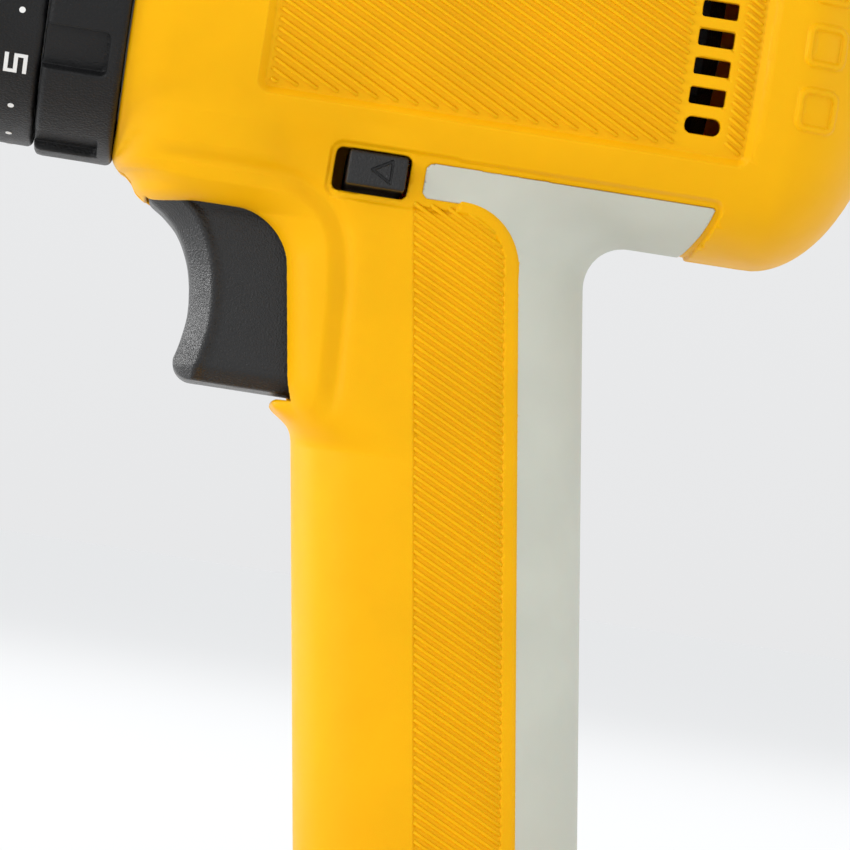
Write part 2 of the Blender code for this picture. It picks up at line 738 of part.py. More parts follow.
def motor():
    pivot = (0, 0, SPINDLE_HEIGHT)
    can = [(-20.0, 17.4), (-20.0, 18.5), (26.8, 18.5), (28.2, 17.2), (28.2, 3.0), (26.6, 3.0), (26.6, 17.4)]
    smooth(add_object("motor_can", revolve(can, 28), STEEL))
    cap = [(-28.0, 3.0), (-28.0, 15.6), (-25.6, 18.2), (-20.2, 18.2), (-20.2, 16.2), (-24.4, 14.0), (-24.4, 3.0)]
    smooth(add_object("motor_end_cap", revolve(cap, 28), BLACK))
    core = [(-17.0, 1.75), (-17.0, 8.0), (-12.0, 8.0), (-12.0, 15.8), (17.5, 15.8), (17.5, 1.75)]
    armature = smooth(add_object("armature", revolve(core, 20), COPPER, pivot))
    slots = []
    for number in range(5):
        slot = box((-13, -0.9, 7.5), (18.5, 0.9, 18.0))
        bmesh.ops.rotate(slot, verts=slot.verts, matrix=Matrix.Rotation(2 * math.pi * number / 5, 3, "X"))
        bmesh.ops.translate(slot, verts=slot.verts, vec=(0, 0, SPINDLE_HEIGHT))
        slots.append(slot)
    boolean(armature, add_object("cut_armature", joined(*slots)))
    shaft = add_object("motor_shaft", rod((-29.4, 0, SPINDLE_HEIGHT), (42.0, 0, SPINDLE_HEIGHT), 1.6), STEEL, pivot)
    smooth(shaft)
    hub = [(19.0, 1.75), (19.0, 5.5), (25.0, 5.5), (25.0, 1.75)]
    fan = add_object("motor_fan", revolve(hub, 12), BLACK, pivot)
    blades = []
    for number in range(8):
        blade = box((19.6, -0.5, 4.8), (24.6, 0.5, 16.2))
        bmesh.ops.rotate(blade, verts=blade.verts, matrix=Matrix.Rotation(2 * math.pi * number / 8, 3, "X"))
        bmesh.ops.translate(blade, verts=blade.verts, vec=(0, 0, SPINDLE_HEIGHT))
        blades.append(blade)
    boolean(fan, add_object("fan_blades", joined(*blades)), "UNION")


# ---- Chuck ----


def jaw_line(turn, back, front):
    """The two ends of a line along a jaw's slide, measured from the jaw's tip."""
    outward = Vector((0, math.cos(turn), math.sin(turn)))
    along = Vector((math.cos(JAW_TILT), 0, 0)) - outward * math.sin(JAW_TILT)
    tip = Vector((JAW_TIP, 0, SPINDLE_HEIGHT)) + outward * JAW_TIP_OFFSET
    return tip - along * back, tip + along * front


def chuck():
    pivot = (0, 0, SPINDLE_HEIGHT)
    body = [
        (88.4, 6.2),
        (88.4, 12.8),
        (90.0, 14.6),
        (99.9, 14.6),
        (99.9, 11.5),
        (107.1, 11.5),
        (107.1, 14.6),
        (111.6, 14.6),
        (111.6, 12.3),
        (124.6, 9.6),
        (125.8, 8.4),
        (125.8, 5.4),
        (105.0, 5.4),
        (105.0, 2.6),
        (101.0, 2.6),
        (101.0, 6.2),
    ]
    made = smooth(add_object("chuck_body", revolve(body, 28), DARK_STEEL, pivot))
    for number in range(3):
        turn = 2 * math.pi * number / 3 + math.pi / 2
        back, front = jaw_line(turn, 45, 14)
        boolean(made, add_object(f"jaw_bore_{number + 1}", rod(back, front, JAW_RADIUS + 0.25, 12)))
        back, front = jaw_line(turn, JAW_LENGTH, 0)
        jaw = add_object(f"chuck_jaw_{number + 1}", rod(back, front, JAW_RADIUS, 12), STEEL)
        wedge = plate(
            [[(BIT_RADIUS, 0), (BIT_RADIUS + 18, 29.5), (BIT_RADIUS + 18, -29.5)]],
            lambda a, b: (80, a * math.cos(turn) - b * math.sin(turn), SPINDLE_HEIGHT + a * math.sin(turn) + b * math.cos(turn)),
            (60, 0, 0),
        )
        boolean(jaw, add_object(f"jaw_wedge_{number + 1}", wedge), "INTERSECT")
        smooth(jaw)
    sleeve = [
        (87.2, 15.2),
        (87.2, 17.6),
        (88.4, 18.8),
        (109.0, 18.8),
        (113.5, 17.4),
        (118.4, 14.8),
        (119.0, 13.8),
        (119.0, 12.6),
        (112.2, 12.6),
        (112.2, 15.2),
    ]
    made = smooth(add_object("chuck_sleeve", revolve(sleeve, 40), BLACK, pivot))
    flutes = []
    for number in range(12):
        turn = 2 * math.pi * number / 12
        y, z = 20.2 * math.cos(turn), SPINDLE_HEIGHT + 20.2 * math.sin(turn)
        flutes.append(rod((90.5, y, z), (107.5, y, z), 2.2, 8))
    boolean(made, add_object("cut_flutes", joined(*flutes)))
    nut = [(100.4, 12.1), (100.4, 14.9), (106.6, 14.9), (106.6, 12.1)]
    smooth(add_object("chuck_nut", revolve(nut, 24), BRASS, pivot))
    screw = [(90.0, 0), (90.0, 2.2), (105.2, 2.2), (105.2, 4.4), (107.6, 4.4), (107.6, 0)]
    smooth(add_object("chuck_screw", revolve(screw, 14), DARK_STEEL, pivot))


# ---- Speed shift, battery and wiring ----


def speed_shift():
    """A wire fork under the selector reaches forward over the motor to the sliding ring gear."""
    route = ((-5.0, 27.4), (-4.6, 25.0), (-1.0, 23.6), (20.0, 23.6), (47.0, 23.6), (49.4, 23.0), (49.8, 21.4))
    tube_object("shift_fork", [(x, 0.0, SPINDLE_HEIGHT + up) for x, up in route], 0.8, STEEL)


def battery():
    lower = base_block(
        (
            (0.0, BASE_HALF_LENGTH - 3.6, BASE_HALF_WIDTH - 3.6),
            (1.2, BASE_HALF_LENGTH - 1.6, BASE_HALF_WIDTH - 1.6),
            (3.6, BASE_HALF_LENGTH - 0.3, BASE_HALF_WIDTH - 0.3),
            (13.0, BASE_HALF_LENGTH - 0.3, BASE_HALF_WIDTH - 0.3),
        )
    )
    lower = smooth(add_object("battery_lower_case", lower, BLACK))
    length, width = BASE_HALF_LENGTH - 2.4, BASE_HALF_WIDTH - 2.4
    boolean(lower, add_object("cut_lower_case", base_block(((2.2, length - 2, width - 2), (4, length, width), (14, length, width)))))
    upper = base_block(
        (
            (13.2, BASE_HALF_LENGTH - 0.3, BASE_HALF_WIDTH - 0.3),
            (26.3, BASE_HALF_LENGTH - 0.3, BASE_HALF_WIDTH - 0.3),
        )
    )
    upper = smooth(add_object("battery_upper_case", upper, BLACK))
    inside = base_block(((12.0, length, width), (23.0, length, width), (24.0, length - 1, width - 1)))
    inside = add_object("cut_upper_case", inside)
    boolean(inside, add_object("latch_block", box((33.4, -10.5, 10), (60, 10.5, 30))))
    boolean(upper, inside)
    rails = box((-32.0, -18.2, 25.5), (41.4, 18.2, 29.8))
    boolean(upper, add_object("rail_web", rails), "UNION")
    boolean(upper, add_object("rail_flange", box((-32.0, -22.2, 29.4), (41.4, 22.2, 31.2))), "UNION")
    slits = [box((-40, y - 0.8, 26.8), (-22, y + 0.8, 33)) for y in (-8, 0, 8)]
    slits.append(box((35.6, -8.4, 14.8), (60, 8.4, 40)))
    boolean(upper, add_object("cut_slits", joined(*slits)))
    latch = add_object("battery_latch", box((36.0, -8.0, 18.0), (43.0, 8.0, 31.0)), YELLOW)
    bevel(latch, 0.8)
    coil_object("latch_spring", (39.0, 0, 15.3), (39.0, 0, 17.5), 2.4, 0.35, 2.5, STEEL)
    for number in range(3):
        y, z = (number - 1) * CELL_STEP, CELL_LOW + CELL_RADIUS
        cell = rod((-CELL_LENGTH / 2, y, z), (CELL_LENGTH / 2, y, z), CELL_RADIUS, 20)
        made = smooth(add_object(f"battery_cell_{number + 1}", cell, CELL_WRAP))
        bevel(made, 0.6, 1)
    block = add_object("terminal_block", box((-36.4, -15.0, 26.9), (-33.2, 15.0, 31.2)), BLACK)
    blades = [box((-34.0, y - 0.4, 27.4), (-25.0, y + 0.4, 30.6)) for y in (-8, 0, 8)]
    boolean(block, add_object("terminal_blades", joined(*blades)), "UNION")
    for name, y, look in (("power_lead_red", 4.0, RED), ("power_lead_black", -4.0, BLACK)):
        route = [(-31.0, y, 32.6), (-27.6, y, 36.5), (-22.0, y, 48), (-14.0, y, 75), (-11.0, y, 95), (-4.0, y, 109.2)]
        tube_object(name, route, 0.95, look)


def main():
    cutters = housing_cutters()
    cutters.append(side_panel())
    zone = grip_recess()
    for side in (1, -1):
        housing(side, zone, cutters)
        grip(side)
    screws()
    collar()
    controls()
    gear_train()
    motor()
    chuck()
    speed_shift()
    battery()


main()
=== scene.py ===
"""Cordless drill: its surfaces, materials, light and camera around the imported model.

Lengths in the constants are millimetres. x runs forward to the chuck, y to the drill's left, and w up
from the spindle's axis; z is the height above the floor. The moulded pieces are distance fields: a field
gives each point's distance to a surface, negative inside, so shapes are joined by the least of two fields
and cut by the greatest.
"""

import json
import math

import bpy
import numpy as np
import openvdb
from mathutils import Matrix, Vector


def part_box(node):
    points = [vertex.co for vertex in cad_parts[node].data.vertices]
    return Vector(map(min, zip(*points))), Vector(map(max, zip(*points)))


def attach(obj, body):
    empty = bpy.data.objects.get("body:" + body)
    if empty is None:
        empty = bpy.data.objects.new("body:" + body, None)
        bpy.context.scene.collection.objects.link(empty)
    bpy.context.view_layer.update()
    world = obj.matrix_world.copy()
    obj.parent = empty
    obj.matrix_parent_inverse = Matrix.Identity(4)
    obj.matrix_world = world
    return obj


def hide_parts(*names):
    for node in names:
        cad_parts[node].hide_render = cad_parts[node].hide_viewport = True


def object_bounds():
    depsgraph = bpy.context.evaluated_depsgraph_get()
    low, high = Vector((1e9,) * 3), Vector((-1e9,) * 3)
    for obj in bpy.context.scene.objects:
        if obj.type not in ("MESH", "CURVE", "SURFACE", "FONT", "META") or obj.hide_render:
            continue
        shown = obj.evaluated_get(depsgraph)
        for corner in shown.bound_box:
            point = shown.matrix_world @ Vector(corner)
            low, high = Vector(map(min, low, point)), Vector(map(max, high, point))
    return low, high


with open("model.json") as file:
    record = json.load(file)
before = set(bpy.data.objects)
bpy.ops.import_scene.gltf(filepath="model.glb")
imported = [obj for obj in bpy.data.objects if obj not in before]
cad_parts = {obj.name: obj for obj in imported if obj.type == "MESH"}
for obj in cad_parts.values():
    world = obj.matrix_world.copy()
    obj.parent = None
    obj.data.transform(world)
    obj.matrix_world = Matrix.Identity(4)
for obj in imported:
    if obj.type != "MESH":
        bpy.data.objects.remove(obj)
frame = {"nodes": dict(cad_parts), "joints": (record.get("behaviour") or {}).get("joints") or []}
CAD_LOW, CAD_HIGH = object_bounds()

MM = 0.001
# The height of the spindle's axis above the floor.
SPINDLE = next(j for j in frame["joints"] if j["name"] == "spindle_spin")["pos_m"][2] / MM
# A field is kept exact within BAND voxels of its surface, and is sampled in blocks of BLOCK voxels a side.
BAND = 3
BLOCK = 4


# ---------------------------------------------------------------- fields


def meet(a, b, radius):
    """Both at once, with a round edge."""
    corner = np.hypot(np.maximum(a + radius, 0), np.maximum(b + radius, 0))
    return np.minimum(-radius, np.maximum(a, b)) + corner


def join(a, b, radius):
    """Either of two, with a fillet in the corner."""
    corner = np.hypot(np.maximum(radius - a, 0), np.maximum(radius - b, 0))
    return np.maximum(radius, np.minimum(a, b)) - corner


def step_up(value, start, end):
    """0 before start, 1 after end, and a smooth rise between them."""
    t = np.clip((value - start) / (end - start), 0, 1)
    return t * t * (3 - 2 * t)


def rectangle(u, v, low_u, high_u, low_v, high_v, radius):
    """Distance to a rectangle with round corners."""
    a = np.abs(u - (low_u + high_u) / 2) - (high_u - low_u) / 2 + radius
    b = np.abs(v - (low_v + high_v) / 2) - (high_v - low_v) / 2 + radius
    return np.hypot(np.maximum(a, 0), np.maximum(b, 0)) + np.minimum(np.maximum(a, b), 0) - radius


def oval(u, v, half_u, half_v, power):
    """Distance to a superellipse, measured along the ray from its middle."""
    f = ((np.abs(u) / half_u) ** power + (np.abs(v) / half_v) ** power) ** (1 / power)
    return np.where(f > 0.1, np.hypot(u, v) * (1 - 1 / np.maximum(f, 0.1)), -0.6 * np.minimum(half_u, half_v))


class Outline:
    """Signed distance to a closed outline, kept on a fine grid and read between the grid's points."""

    def __init__(self, points, step=0.12, margin=9.0):
        points = np.array(points, float)
        self.low, self.step = points.min(0) - margin, step
        size = ((points.max(0) + margin - self.low) / step).astype(int) + 2
        u, v = np.meshgrid(*[self.low[k] + np.arange(size[k]) * step for k in (0, 1)], indexing="ij")
        nearest, inside = np.full(u.shape, 1e9), np.zeros(u.shape, bool)
        for a, b in zip(points, np.roll(points, -1, 0)):
            e = b - a
            t = np.clip(((u - a[0]) * e[0] + (v - a[1]) * e[1]) / max(e @ e, 1e-12), 0, 1)
            nearest = np.minimum(nearest, (u - a[0] - t * e[0]) ** 2 + (v - a[1] - t * e[1]) ** 2)
            if a[1] != b[1]:
                inside ^= ((a[1] > v) != (b[1] > v)) & (u < e[0] * (v - a[1]) / e[1] + a[0])
        self.grid = np.where(inside, -1, 1) * np.sqrt(nearest)

    def __call__(self, u, v):
        i = np.clip((u - self.low[0]) / self.step, 0, self.grid.shape[0] - 1.001)
        j = np.clip((v - self.low[1]) / self.step, 0, self.grid.shape[1] - 1.001)
        a, b = i.astype(int), j.astype(int)
        s, t = i - a, j - b
        low = self.grid[a, b] * (1 - s) + self.grid[a + 1, b] * s
        high = self.grid[a, b + 1] * (1 - s) + self.grid[a + 1, b + 1] * s
        return low * (1 - t) + high * t


def curve_through(points, count=10):
    """A smooth curve through open points, as Catmull and Rom draw it."""
    p = np.array([points[0], *points, points[-1]], float)
    out = []
    for k in range(1, len(p) - 2):
        for t in np.arange(count) / count:
            a, b, c, d = p[k - 1 : k + 3]
            square, cube = 2 * a - 5 * b + 4 * c - d, 3 * b - a - 3 * c + d
            out.append(0.5 * (2 * b + (c - a) * t + square * t**2 + cube * t**3))
    return [tuple(q) for q in out] + [tuple(p[-1])]


def arc(centre, radius, start, end, count=14):
    """Points along an arc, from one angle to another in degrees."""
    angles = np.radians(np.linspace(start, end, count))
    return [(centre[0] + radius * math.cos(a), centre[1] + radius * math.sin(a)) for a in angles]


def slope(field, points, reach):
    """The field's gradient at some points."""
    out = np.empty_like(points)
    for k in range(3):
        ahead, behind = points.copy(), points.copy()
        ahead[:, k] += reach
        behind[:, k] -= reach
        out[:, k] = (field(*ahead.T) - field(*behind.T)) / (2 * reach)
    return out


def build(name, field, low, high, step, adapt=0.006, fine=None):
    """A closed mesh object on the field's zero level, shaded by the field's own slope."""
    low, high = np.array(low, float), np.array(high, float)
    count = np.ceil((high - low) / (BLOCK * step)).astype(int)
    middles = [low[k] + (np.arange(count[k]) + 0.5) * BLOCK * step for k in range(3)]
    x, y, w = (a.ravel() for a in np.meshgrid(*middles, indexing="ij"))
    rough = field(x, y, w)
    live = np.abs(rough) < 1.25 * (BLOCK * step * 0.87 + BAND * step) + 0.8
    far = BAND * step
    dense = np.empty((count[0], BLOCK, count[1], BLOCK, count[2], BLOCK), np.float32)
    dense[...] = np.where(rough > 0, far, -far).reshape(count[0], 1, count[1], 1, count[2], 1)
    offsets = (np.arange(BLOCK) - (BLOCK - 1) / 2) * step
    dx, dy, dw = (a.ravel() for a in np.meshgrid(offsets, offsets, offsets, indexing="ij"))
    at = np.argwhere(live.reshape(count))
    for part in np.array_split(np.arange(len(at)), max(1, len(at) // 40000)):
        chosen = np.flatnonzero(live)[part]
        here = [(c[chosen][:, None] + d).ravel() for c, d in ((x, dx), (y, dy), (w, dw))]
        values = np.clip(field(*here), -far, far).reshape(-1, BLOCK, BLOCK, BLOCK)
        dense[at[part, 0], :, at[part, 1], :, at[part, 2], :] = values
    grid = openvdb.FloatGrid(far)
    grid.copyFromArray(dense.reshape(count * BLOCK), tolerance=0)
    points, triangles, quads = grid.convertToPolygons(0.0, adapt)
    points = low + (points.astype(float) + 0.5) * step
    for _ in range(3):
        gradient = slope(field, points, 0.1 * step)
        size = np.maximum((gradient**2).sum(1), 0.25)
        move = np.clip(field(*points.T), -0.4 * step, 0.4 * step) / size
        points -= gradient * move[:, None]
    normals = slope(field, points, fine or 0.3 * step)
    normals /= np.maximum(np.linalg.norm(normals, axis=1), 1e-9)[:, None]
    a, b, c = (points[quads[:, k]] for k in range(3))
    outward = (np.cross(b - a, c - a) * normals[quads[:, 0]]).sum()
    if outward < 0:
        quads, triangles = quads[:, ::-1], triangles[:, ::-1]
    return mesh_object(name, points, triangles, quads, normals)


def mesh_object(name, points, triangles, quads, normals=None):
    """A mesh object from points in x, y, w millimetres."""
    corners = np.concatenate([np.asarray(triangles, int).ravel(), np.asarray(quads, int).ravel()])
    many = len(triangles)
    starts = np.concatenate([np.arange(many) * 3, many * 3 + np.arange(len(quads)) * 4])
    mesh = bpy.data.meshes.new(name)
    mesh.vertices.add(len(points))
    mesh.loops.add(len(corners))
    mesh.polygons.add(len(starts))
    mesh.vertices.foreach_set("co", ((np.asarray(points) + (0, 0, SPINDLE)) * MM).astype(np.float32).ravel())
    mesh.loops.foreach_set("vertex_index", corners.astype(np.int32))
    mesh.polygons.foreach_set("loop_start", starts.astype(np.int32))
    mesh.polygons.foreach_set("use_smooth", np.ones(len(starts), bool))
    mesh.update(calc_edges=True)
    if normals is not None:
        mesh.normals_split_custom_set_from_vertices(normals.astype(np.float32))
    obj = bpy.data.objects.new(name, mesh)
    bpy.context.scene.collection.objects.link(obj)
    return obj


# ---------------------------------------------------------------- the moulded body

BARREL_FRONT = 56.6
BARREL_HALF = 30.0
CAP_START = -38.0
CAP_DEPTH = 16.8
HANDLE_HALF = 17.0
HANDLE_POWER = 2.5
WALL = 2.7
# The chin under the nose: at each depth below the axis, how far forward it reaches and half its width.
CHIN = (
    (18.0, 56.6, 24.5),
    (22.0, 56.6, 24.0),
    (26.4, 56.6, 22.2),
    (29.4, 56.5, 20.4),
    (30.2, 56.2, 19.6),
    (30.8, 55.6, 19.0),
    (31.2, 54.7, 18.6),
    (32.2, 53.6, 17.4),
    (33.4, 52.9, 16.0),
    (34.4, 51.9, 14.8),
)
CHIN_BACK = 26.0
BASE_HALF = (42.0, 31.5)
BASE_CORNER = 9.0
BASE_LOW = 26.6 - SPINDLE
BASE_TOP = 36.2 - SPINDLE
GREY_SINK = 0.38


def handle_front(w):
    """The handle's front line in the side view, which leans back as it goes down."""
    return 24.8 - 0.161 * (-w - 64.6)


def handle_rear(w):
    """The handle's rear line in the side view."""
    return -15.8 - 0.1442 * (-w - 43.5)


def grip_border(w):
    """Where the grey grip meets the yellow, three quarters of the way back."""
    return handle_front(w) - 0.753 * (handle_front(w) - handle_rear(w))


def barrel(x, y, w):
    """The motor and gear housing: nearly round, a little drawn in at the nose, with a domed rear cap."""
    nose = np.clip((x - 40) / 17, 0, 1)
    rim = 0.8 * step_up(x, 50.5, 56.5)
    tall = np.where(w > 0, 31 - 0.8 * nose, 30.8 - 0.6 * nose)
    power = 2.35 - 0.35 * nose
    f = ((np.abs(y) / BARREL_HALF) ** power + (np.abs(w) / tall) ** power) ** (1 / power)
    back = np.clip(CAP_START - x, 0, None)
    f = np.hypot(f, back / CAP_DEPTH)
    r = np.sqrt(y * y + w * w + back * back)
    return meet(np.where(f > 0.1, r * (1 - 1 / np.maximum(f, 0.1)), -18) + rim, x - BARREL_FRONT, 0.7)


def handle(x, y, w):
    """The handle: a superellipse in plan, squarer beside the trigger, with a lip below the trigger."""
    front, rear = handle_front(w), handle_rear(w)
    lip = 2.0 * np.exp(-(((w + 61.6) / 1.7) ** 2)) * (1 - step_up(np.abs(y), 9, 13))
    front = front + 0.9 * step_up(w, -66, -61) + lip
    power = HANDLE_POWER + 2.6 * step_up(w, -67, -60) * step_up(x, -4, 8)
    d = oval(x - (front + rear) / 2, y, (front - rear) / 2, HANDLE_HALF, power)
    return np.maximum(d, np.maximum(BASE_LOW + 4 - w, w + 6))


def chin(x, y, w):
    """The body under the nose, over the trigger."""
    depths, fronts, halves = zip(*CHIN)
    front = np.interp(-w, depths, fronts)
    half = np.interp(-w, depths, halves)
    d = oval(x - (front + CHIN_BACK) / 2, y, (front - CHIN_BACK) / 2, half, 3.0)
    bottom = -33.2 - 1.3 * step_up(x, 43, 52)
    return meet(np.maximum(d, w + 12), bottom - w, 0.9)


def base(x, y, w):
    """The foot that the pack slides under."""
    plan = rectangle(x, y, -BASE_HALF[0], BASE_HALF[0], -BASE_HALF[1], BASE_HALF[1], BASE_CORNER)
    return meet(plan, np.abs(w - (BASE_LOW + BASE_TOP) / 2) - (BASE_TOP - BASE_LOW) / 2, 2.2)


def body(x, y, w):
    """The drill's outside, with no relief and no openings."""
    neck = 1.2 + 5.8 * step_up(-x, -33, -22)
    d = join(handle(x, y, w), chin(x, y, w), 8.0)
    d = join(barrel(x, y, w), d, neck)
    return join(d, base(x, y, w), 8.5)


# The grey grip's edge in the side view: an arm forward under the axis, then down the handle's back.
GRIP_TOP = -24.3
GRIP_END = 11.3
GRIP_ZONE = Outline(
    [(GRIP_END, -28.1), (GRIP_END, GRIP_TOP - 0.5), (GRIP_END - 0.5, GRIP_TOP), (-30.2, GRIP_TOP)]
    + [(-29.9, -25.6), (-29.2, -27.6), (-28.0, -29.8), (-26.8, -31.6)]
    + [(-27.6, -40), (-60, -48), (-60, -138.2), (4, -138.2), (4, -135.5)]
    + arc((grip_border(-126) + 9.5, -126), 9.5, 270, 180)
    + arc((grip_border(-38.1) + 9.5, -38.1), 9.5, 180, 90)
    + [(GRIP_END - 0.5, -28.6)]
)
# Rectangles of the side view are (rear, front, bottom, top).
PANEL = (-33.8, 37.6, -18.0, 16.6)
PANEL_SINK = 1.1
PANEL_WALL = 1.05
VENT_X = (-28.8, -23.6)
VENTS = 7
VENT_PITCH = 4.16
VENT_HALF = 1.22
VENT_MIDDLE = -0.6
WINDOW = (13.8, 24.77, -29.6, -23.5)
CHANNEL = (6.0, 25.6, -30.7, -22.8)
SELECTOR_LOW, SELECTOR_HIGH = (np.array(c) / MM - (0, 0, SPINDLE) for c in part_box("direction_selector"))
SELECTOR_WEB = (10.5, 28.0, -32.5, -19.5)
SELECTOR_HOLE = (SELECTOR_LOW[0] - 0.4, SELECTOR_HIGH[0] + 0.4, SELECTOR_LOW[2] - 0.4, SELECTOR_HIGH[2] + 0.4)
SHIFT_WINDOW = (-13.2, 8.2, -6.2, 6.2)
LIGHT_AT = Vector((52.8, 0, 144.0 - SPINDLE))
LIGHT_AIM = Vector((0.8, 0, -0.6))
MARKS = (-42.0, (-8.6, 0.6, 9.8))
MARK_STROKE = 0.55
POCKET = (15.9, 50.9, -60.6, -33.1)
POCKET_HALF = 12.4
SCREW_AT = ((44.5, -30.5), (-43.0, 18.0), (-43.0, -18.0), (8.0, -84.0), (-3.0, -120.0))
SCREW_SEAT = 3.7
POST_RADIUS = 3.6
COUNTERBORE = 2.9


def skin_depth(x, w):
    """How far from the middle plane the body's surface lies at a place of its side view."""
    low, high = 4.0, 34.0
    for _ in range(24):
        middle = (low + high) / 2
        low, high = (middle, high) if body(x, middle, w) < 0 else (low, middle)
    return low


SCREWS = [(x, w, skin_depth(x, w)) for x, w in SCREW_AT]

# The trigger's side view, as (forward, below the axis).
TRIGGER_FRONT = ((50.7, 33.4), (50.3, 34.8), (47.9, 36.5), (45.4, 39.1), (43.3, 43.7), (42.4, 49.5))
TRIGGER_FRONT += ((42.8, 54), (43.5, 57.0))
TRIGGER_REAR = ((24.4, 59.8), (24.8, 50.0), (25.3, 43.0), (26.8, 36.6), (30.0, 33.9), (36.0, 33.4))
TRIGGER = Outline(
    [(x, -d) for x, d in curve_through(TRIGGER_FRONT)]
    + arc((40.7, -57.0), 2.8, 0, -90)
    + [(x, -d) for x, d in curve_through(TRIGGER_REAR)]
)
BEHIND_FINGER = [(44.2, -66), (20, -66), (20, -28), (56, -31)]
FINGER = Outline([(x, -d) for x, d in curve_through(TRIGGER_FRONT)] + BEHIND_FINGER)


def pattern_front(w):
    """Where the handle's grooved panel begins, two fifths of the way back."""
    return handle_front(w) - 0.404 * (handle_front(w) - handle_rear(w))


GROOVE_DEPTH = 0.35
GROOVES = Outline(
    [(pattern_front(-30.2), -30.2)]
    + arc((grip_border(-37.5) + 9.5, -37.5), 7.3, 90, 180)
    + arc((grip_border(-126) + 9.5, -126), 7.3, 180, 270)
    + [(pattern_front(-133.3), -133.3)]
)


def vents(x, w):
    """The seven slots of the vent column, the lowest with the rounder foot."""
    w = w - VENT_MIDDLE
    row = np.clip(np.round(w / VENT_PITCH), -(VENTS // 2), VENTS // 2)
    slot = rectangle(x, w - row * VENT_PITCH, *VENT_X, -VENT_HALF, VENT_HALF, 0.35)
    last = rectangle(x, w, *VENT_X, -3 * VENT_PITCH - VENT_HALF, -3 * VENT_PITCH + VENT_HALF, 1.1)
    return np.where(row == -(VENTS // 2), last, slot)


def relief(x, w):
    """How far the yellow surface stands proud of the body at each place of its side view."""
    panel = rectangle(x, w, *PANEL, 1.8)
    high = -PANEL_SINK * np.clip(-panel / PANEL_WALL, 0, 1)
    grip = GRIP_ZONE(x, w)
    high -= (GREY_SINK + 0.5) * (1 - step_up(grip, -0.8, 0.6))
    high -= GROOVE_DEPTH * np.clip(0.5 - GROOVES(x, w) / 0.3, 0, 1)
    beside_grip = np.maximum(grip - 1.3, np.minimum(GRIP_TOP - 3 - w, x + 24))
    channel = np.minimum(rectangle(x, w, *CHANNEL, 1.8), beside_grip)
    high -= 0.6 * (1 - step_up(channel, -0.3, 0.2)) * step_up(w, -32.5, -29.5)
    trigger = TRIGGER(x, w)
    reach = step_up(w, -64, -57) * step_up(-x, -53, -46)
    high += 0.85 * reach * (1 - step_up(trigger, 1.8, 4.0))
    high -= 0.65 * reach * np.exp(-(((trigger - 4.9) / 1.0) ** 2))
    high -= 0.3 * np.exp(-(((x - 19) / 6.5) ** 2) - ((w + 20) / 1.6) ** 2)
    for middle in MARKS[1]:
        mark = rectangle(x, w, MARKS[0] - 3.1, MARKS[0] + 3.1, middle - 3.2, middle + 3.2, 1.6)
        ring = np.abs(mark + MARK_STROKE) - MARK_STROKE
        high += 0.5 * (1 - step_up(ring, -0.3, 0.12))
    return high


def screw_posts(x, w):
    """The solid posts that the screws run in."""
    d = np.full(np.shape(x), 50.0)
    for place in SCREWS:
        d = np.minimum(d, np.hypot(x - place[0], w - place[1]) - POST_RADIUS)
    return d


def shell(x, y, w):
    """The yellow moulding, both halves, before the halves are parted."""
    outside = body(x, y, w)
    d = outside - relief(x, w)
    hollow = np.maximum(outside + WALL, BASE_TOP - 1 - w)
    hollow = np.maximum(hollow, -np.maximum(screw_posts(x, w), 0))
    d = np.maximum(d, -hollow)
    web = np.maximum(rectangle(x, w, *SELECTOR_WEB, 0.2), np.abs(y) - 1.4)
    d = np.minimum(d, np.maximum(web, -rectangle(x, w, *SELECTOR_HOLE, 0.2)))
    nose = np.maximum(np.hypot(y, w) - 26.8, np.maximum(x - 60, 30 - x))
    d = np.maximum(d, -nose)
    open_front = np.maximum(w + 35.6, rectangle(x, w, POCKET[0], 62, POCKET[2], -30, 1.0))
    mouth = np.minimum(rectangle(x, w, *POCKET, 1.0), open_front)
    half = POCKET_HALF - 4.5 * step_up(x, 46.5, 50.9)
    d = meet(d, -np.maximum(mouth, np.abs(y) - half), 0.45)
    d = np.maximum(d, -np.maximum(vents(x, w), 14 - np.abs(y)))
    d = meet(d, -np.maximum(rectangle(x, w, *WINDOW, 1.0), 6 - np.abs(y)), 0.25)
    d = np.maximum(d, -np.maximum(rectangle(x, y, *SHIFT_WINDOW, 0.8), 20 - w))
    slot_low = np.maximum(np.abs(y) - 18.5, w - (29.3 - SPINDLE))
    slot_high = np.maximum(np.abs(y) - 22.5, np.abs(w - (30.4 - SPINDLE)) - 1.1)
    d = np.maximum(d, -np.maximum(np.minimum(slot_low, slot_high), -36.6 - x))
    along = (x - LIGHT_AT.x) * LIGHT_AIM.x + (w - LIGHT_AT.z) * LIGHT_AIM.z
    across = np.hypot((x - LIGHT_AT.x) * LIGHT_AIM.z - (w - LIGHT_AT.z) * LIGHT_AIM.x, y)
    d = np.maximum(d, -np.maximum(across - 2.75, np.abs(along) - 6))
    inset = body_skin(outside, x, w)
    return np.maximum(d, -inset)


def body_skin(outside, x, w):
    """The recess that the grey grip fills."""
    return np.maximum(-outside - 1.7 - GREY_SINK, GRIP_ZONE(x, w) + 1.15)


def left_half(x, y, w):
    """The housing half that the camera sees."""
    return np.maximum(shell(x, y, w), 0.02 - y)


def right_half(x, y, w):
    """The other half, with the screws' counterbores."""
    d = np.maximum(shell(x, y, w), y + 0.02)
    for place in SCREWS:
        hole = np.maximum(np.hypot(x - place[0], w - place[1]) - COUNTERBORE, y + place[2] - SCREW_SEAT)
        d = np.maximum(d, -hole)
    return d


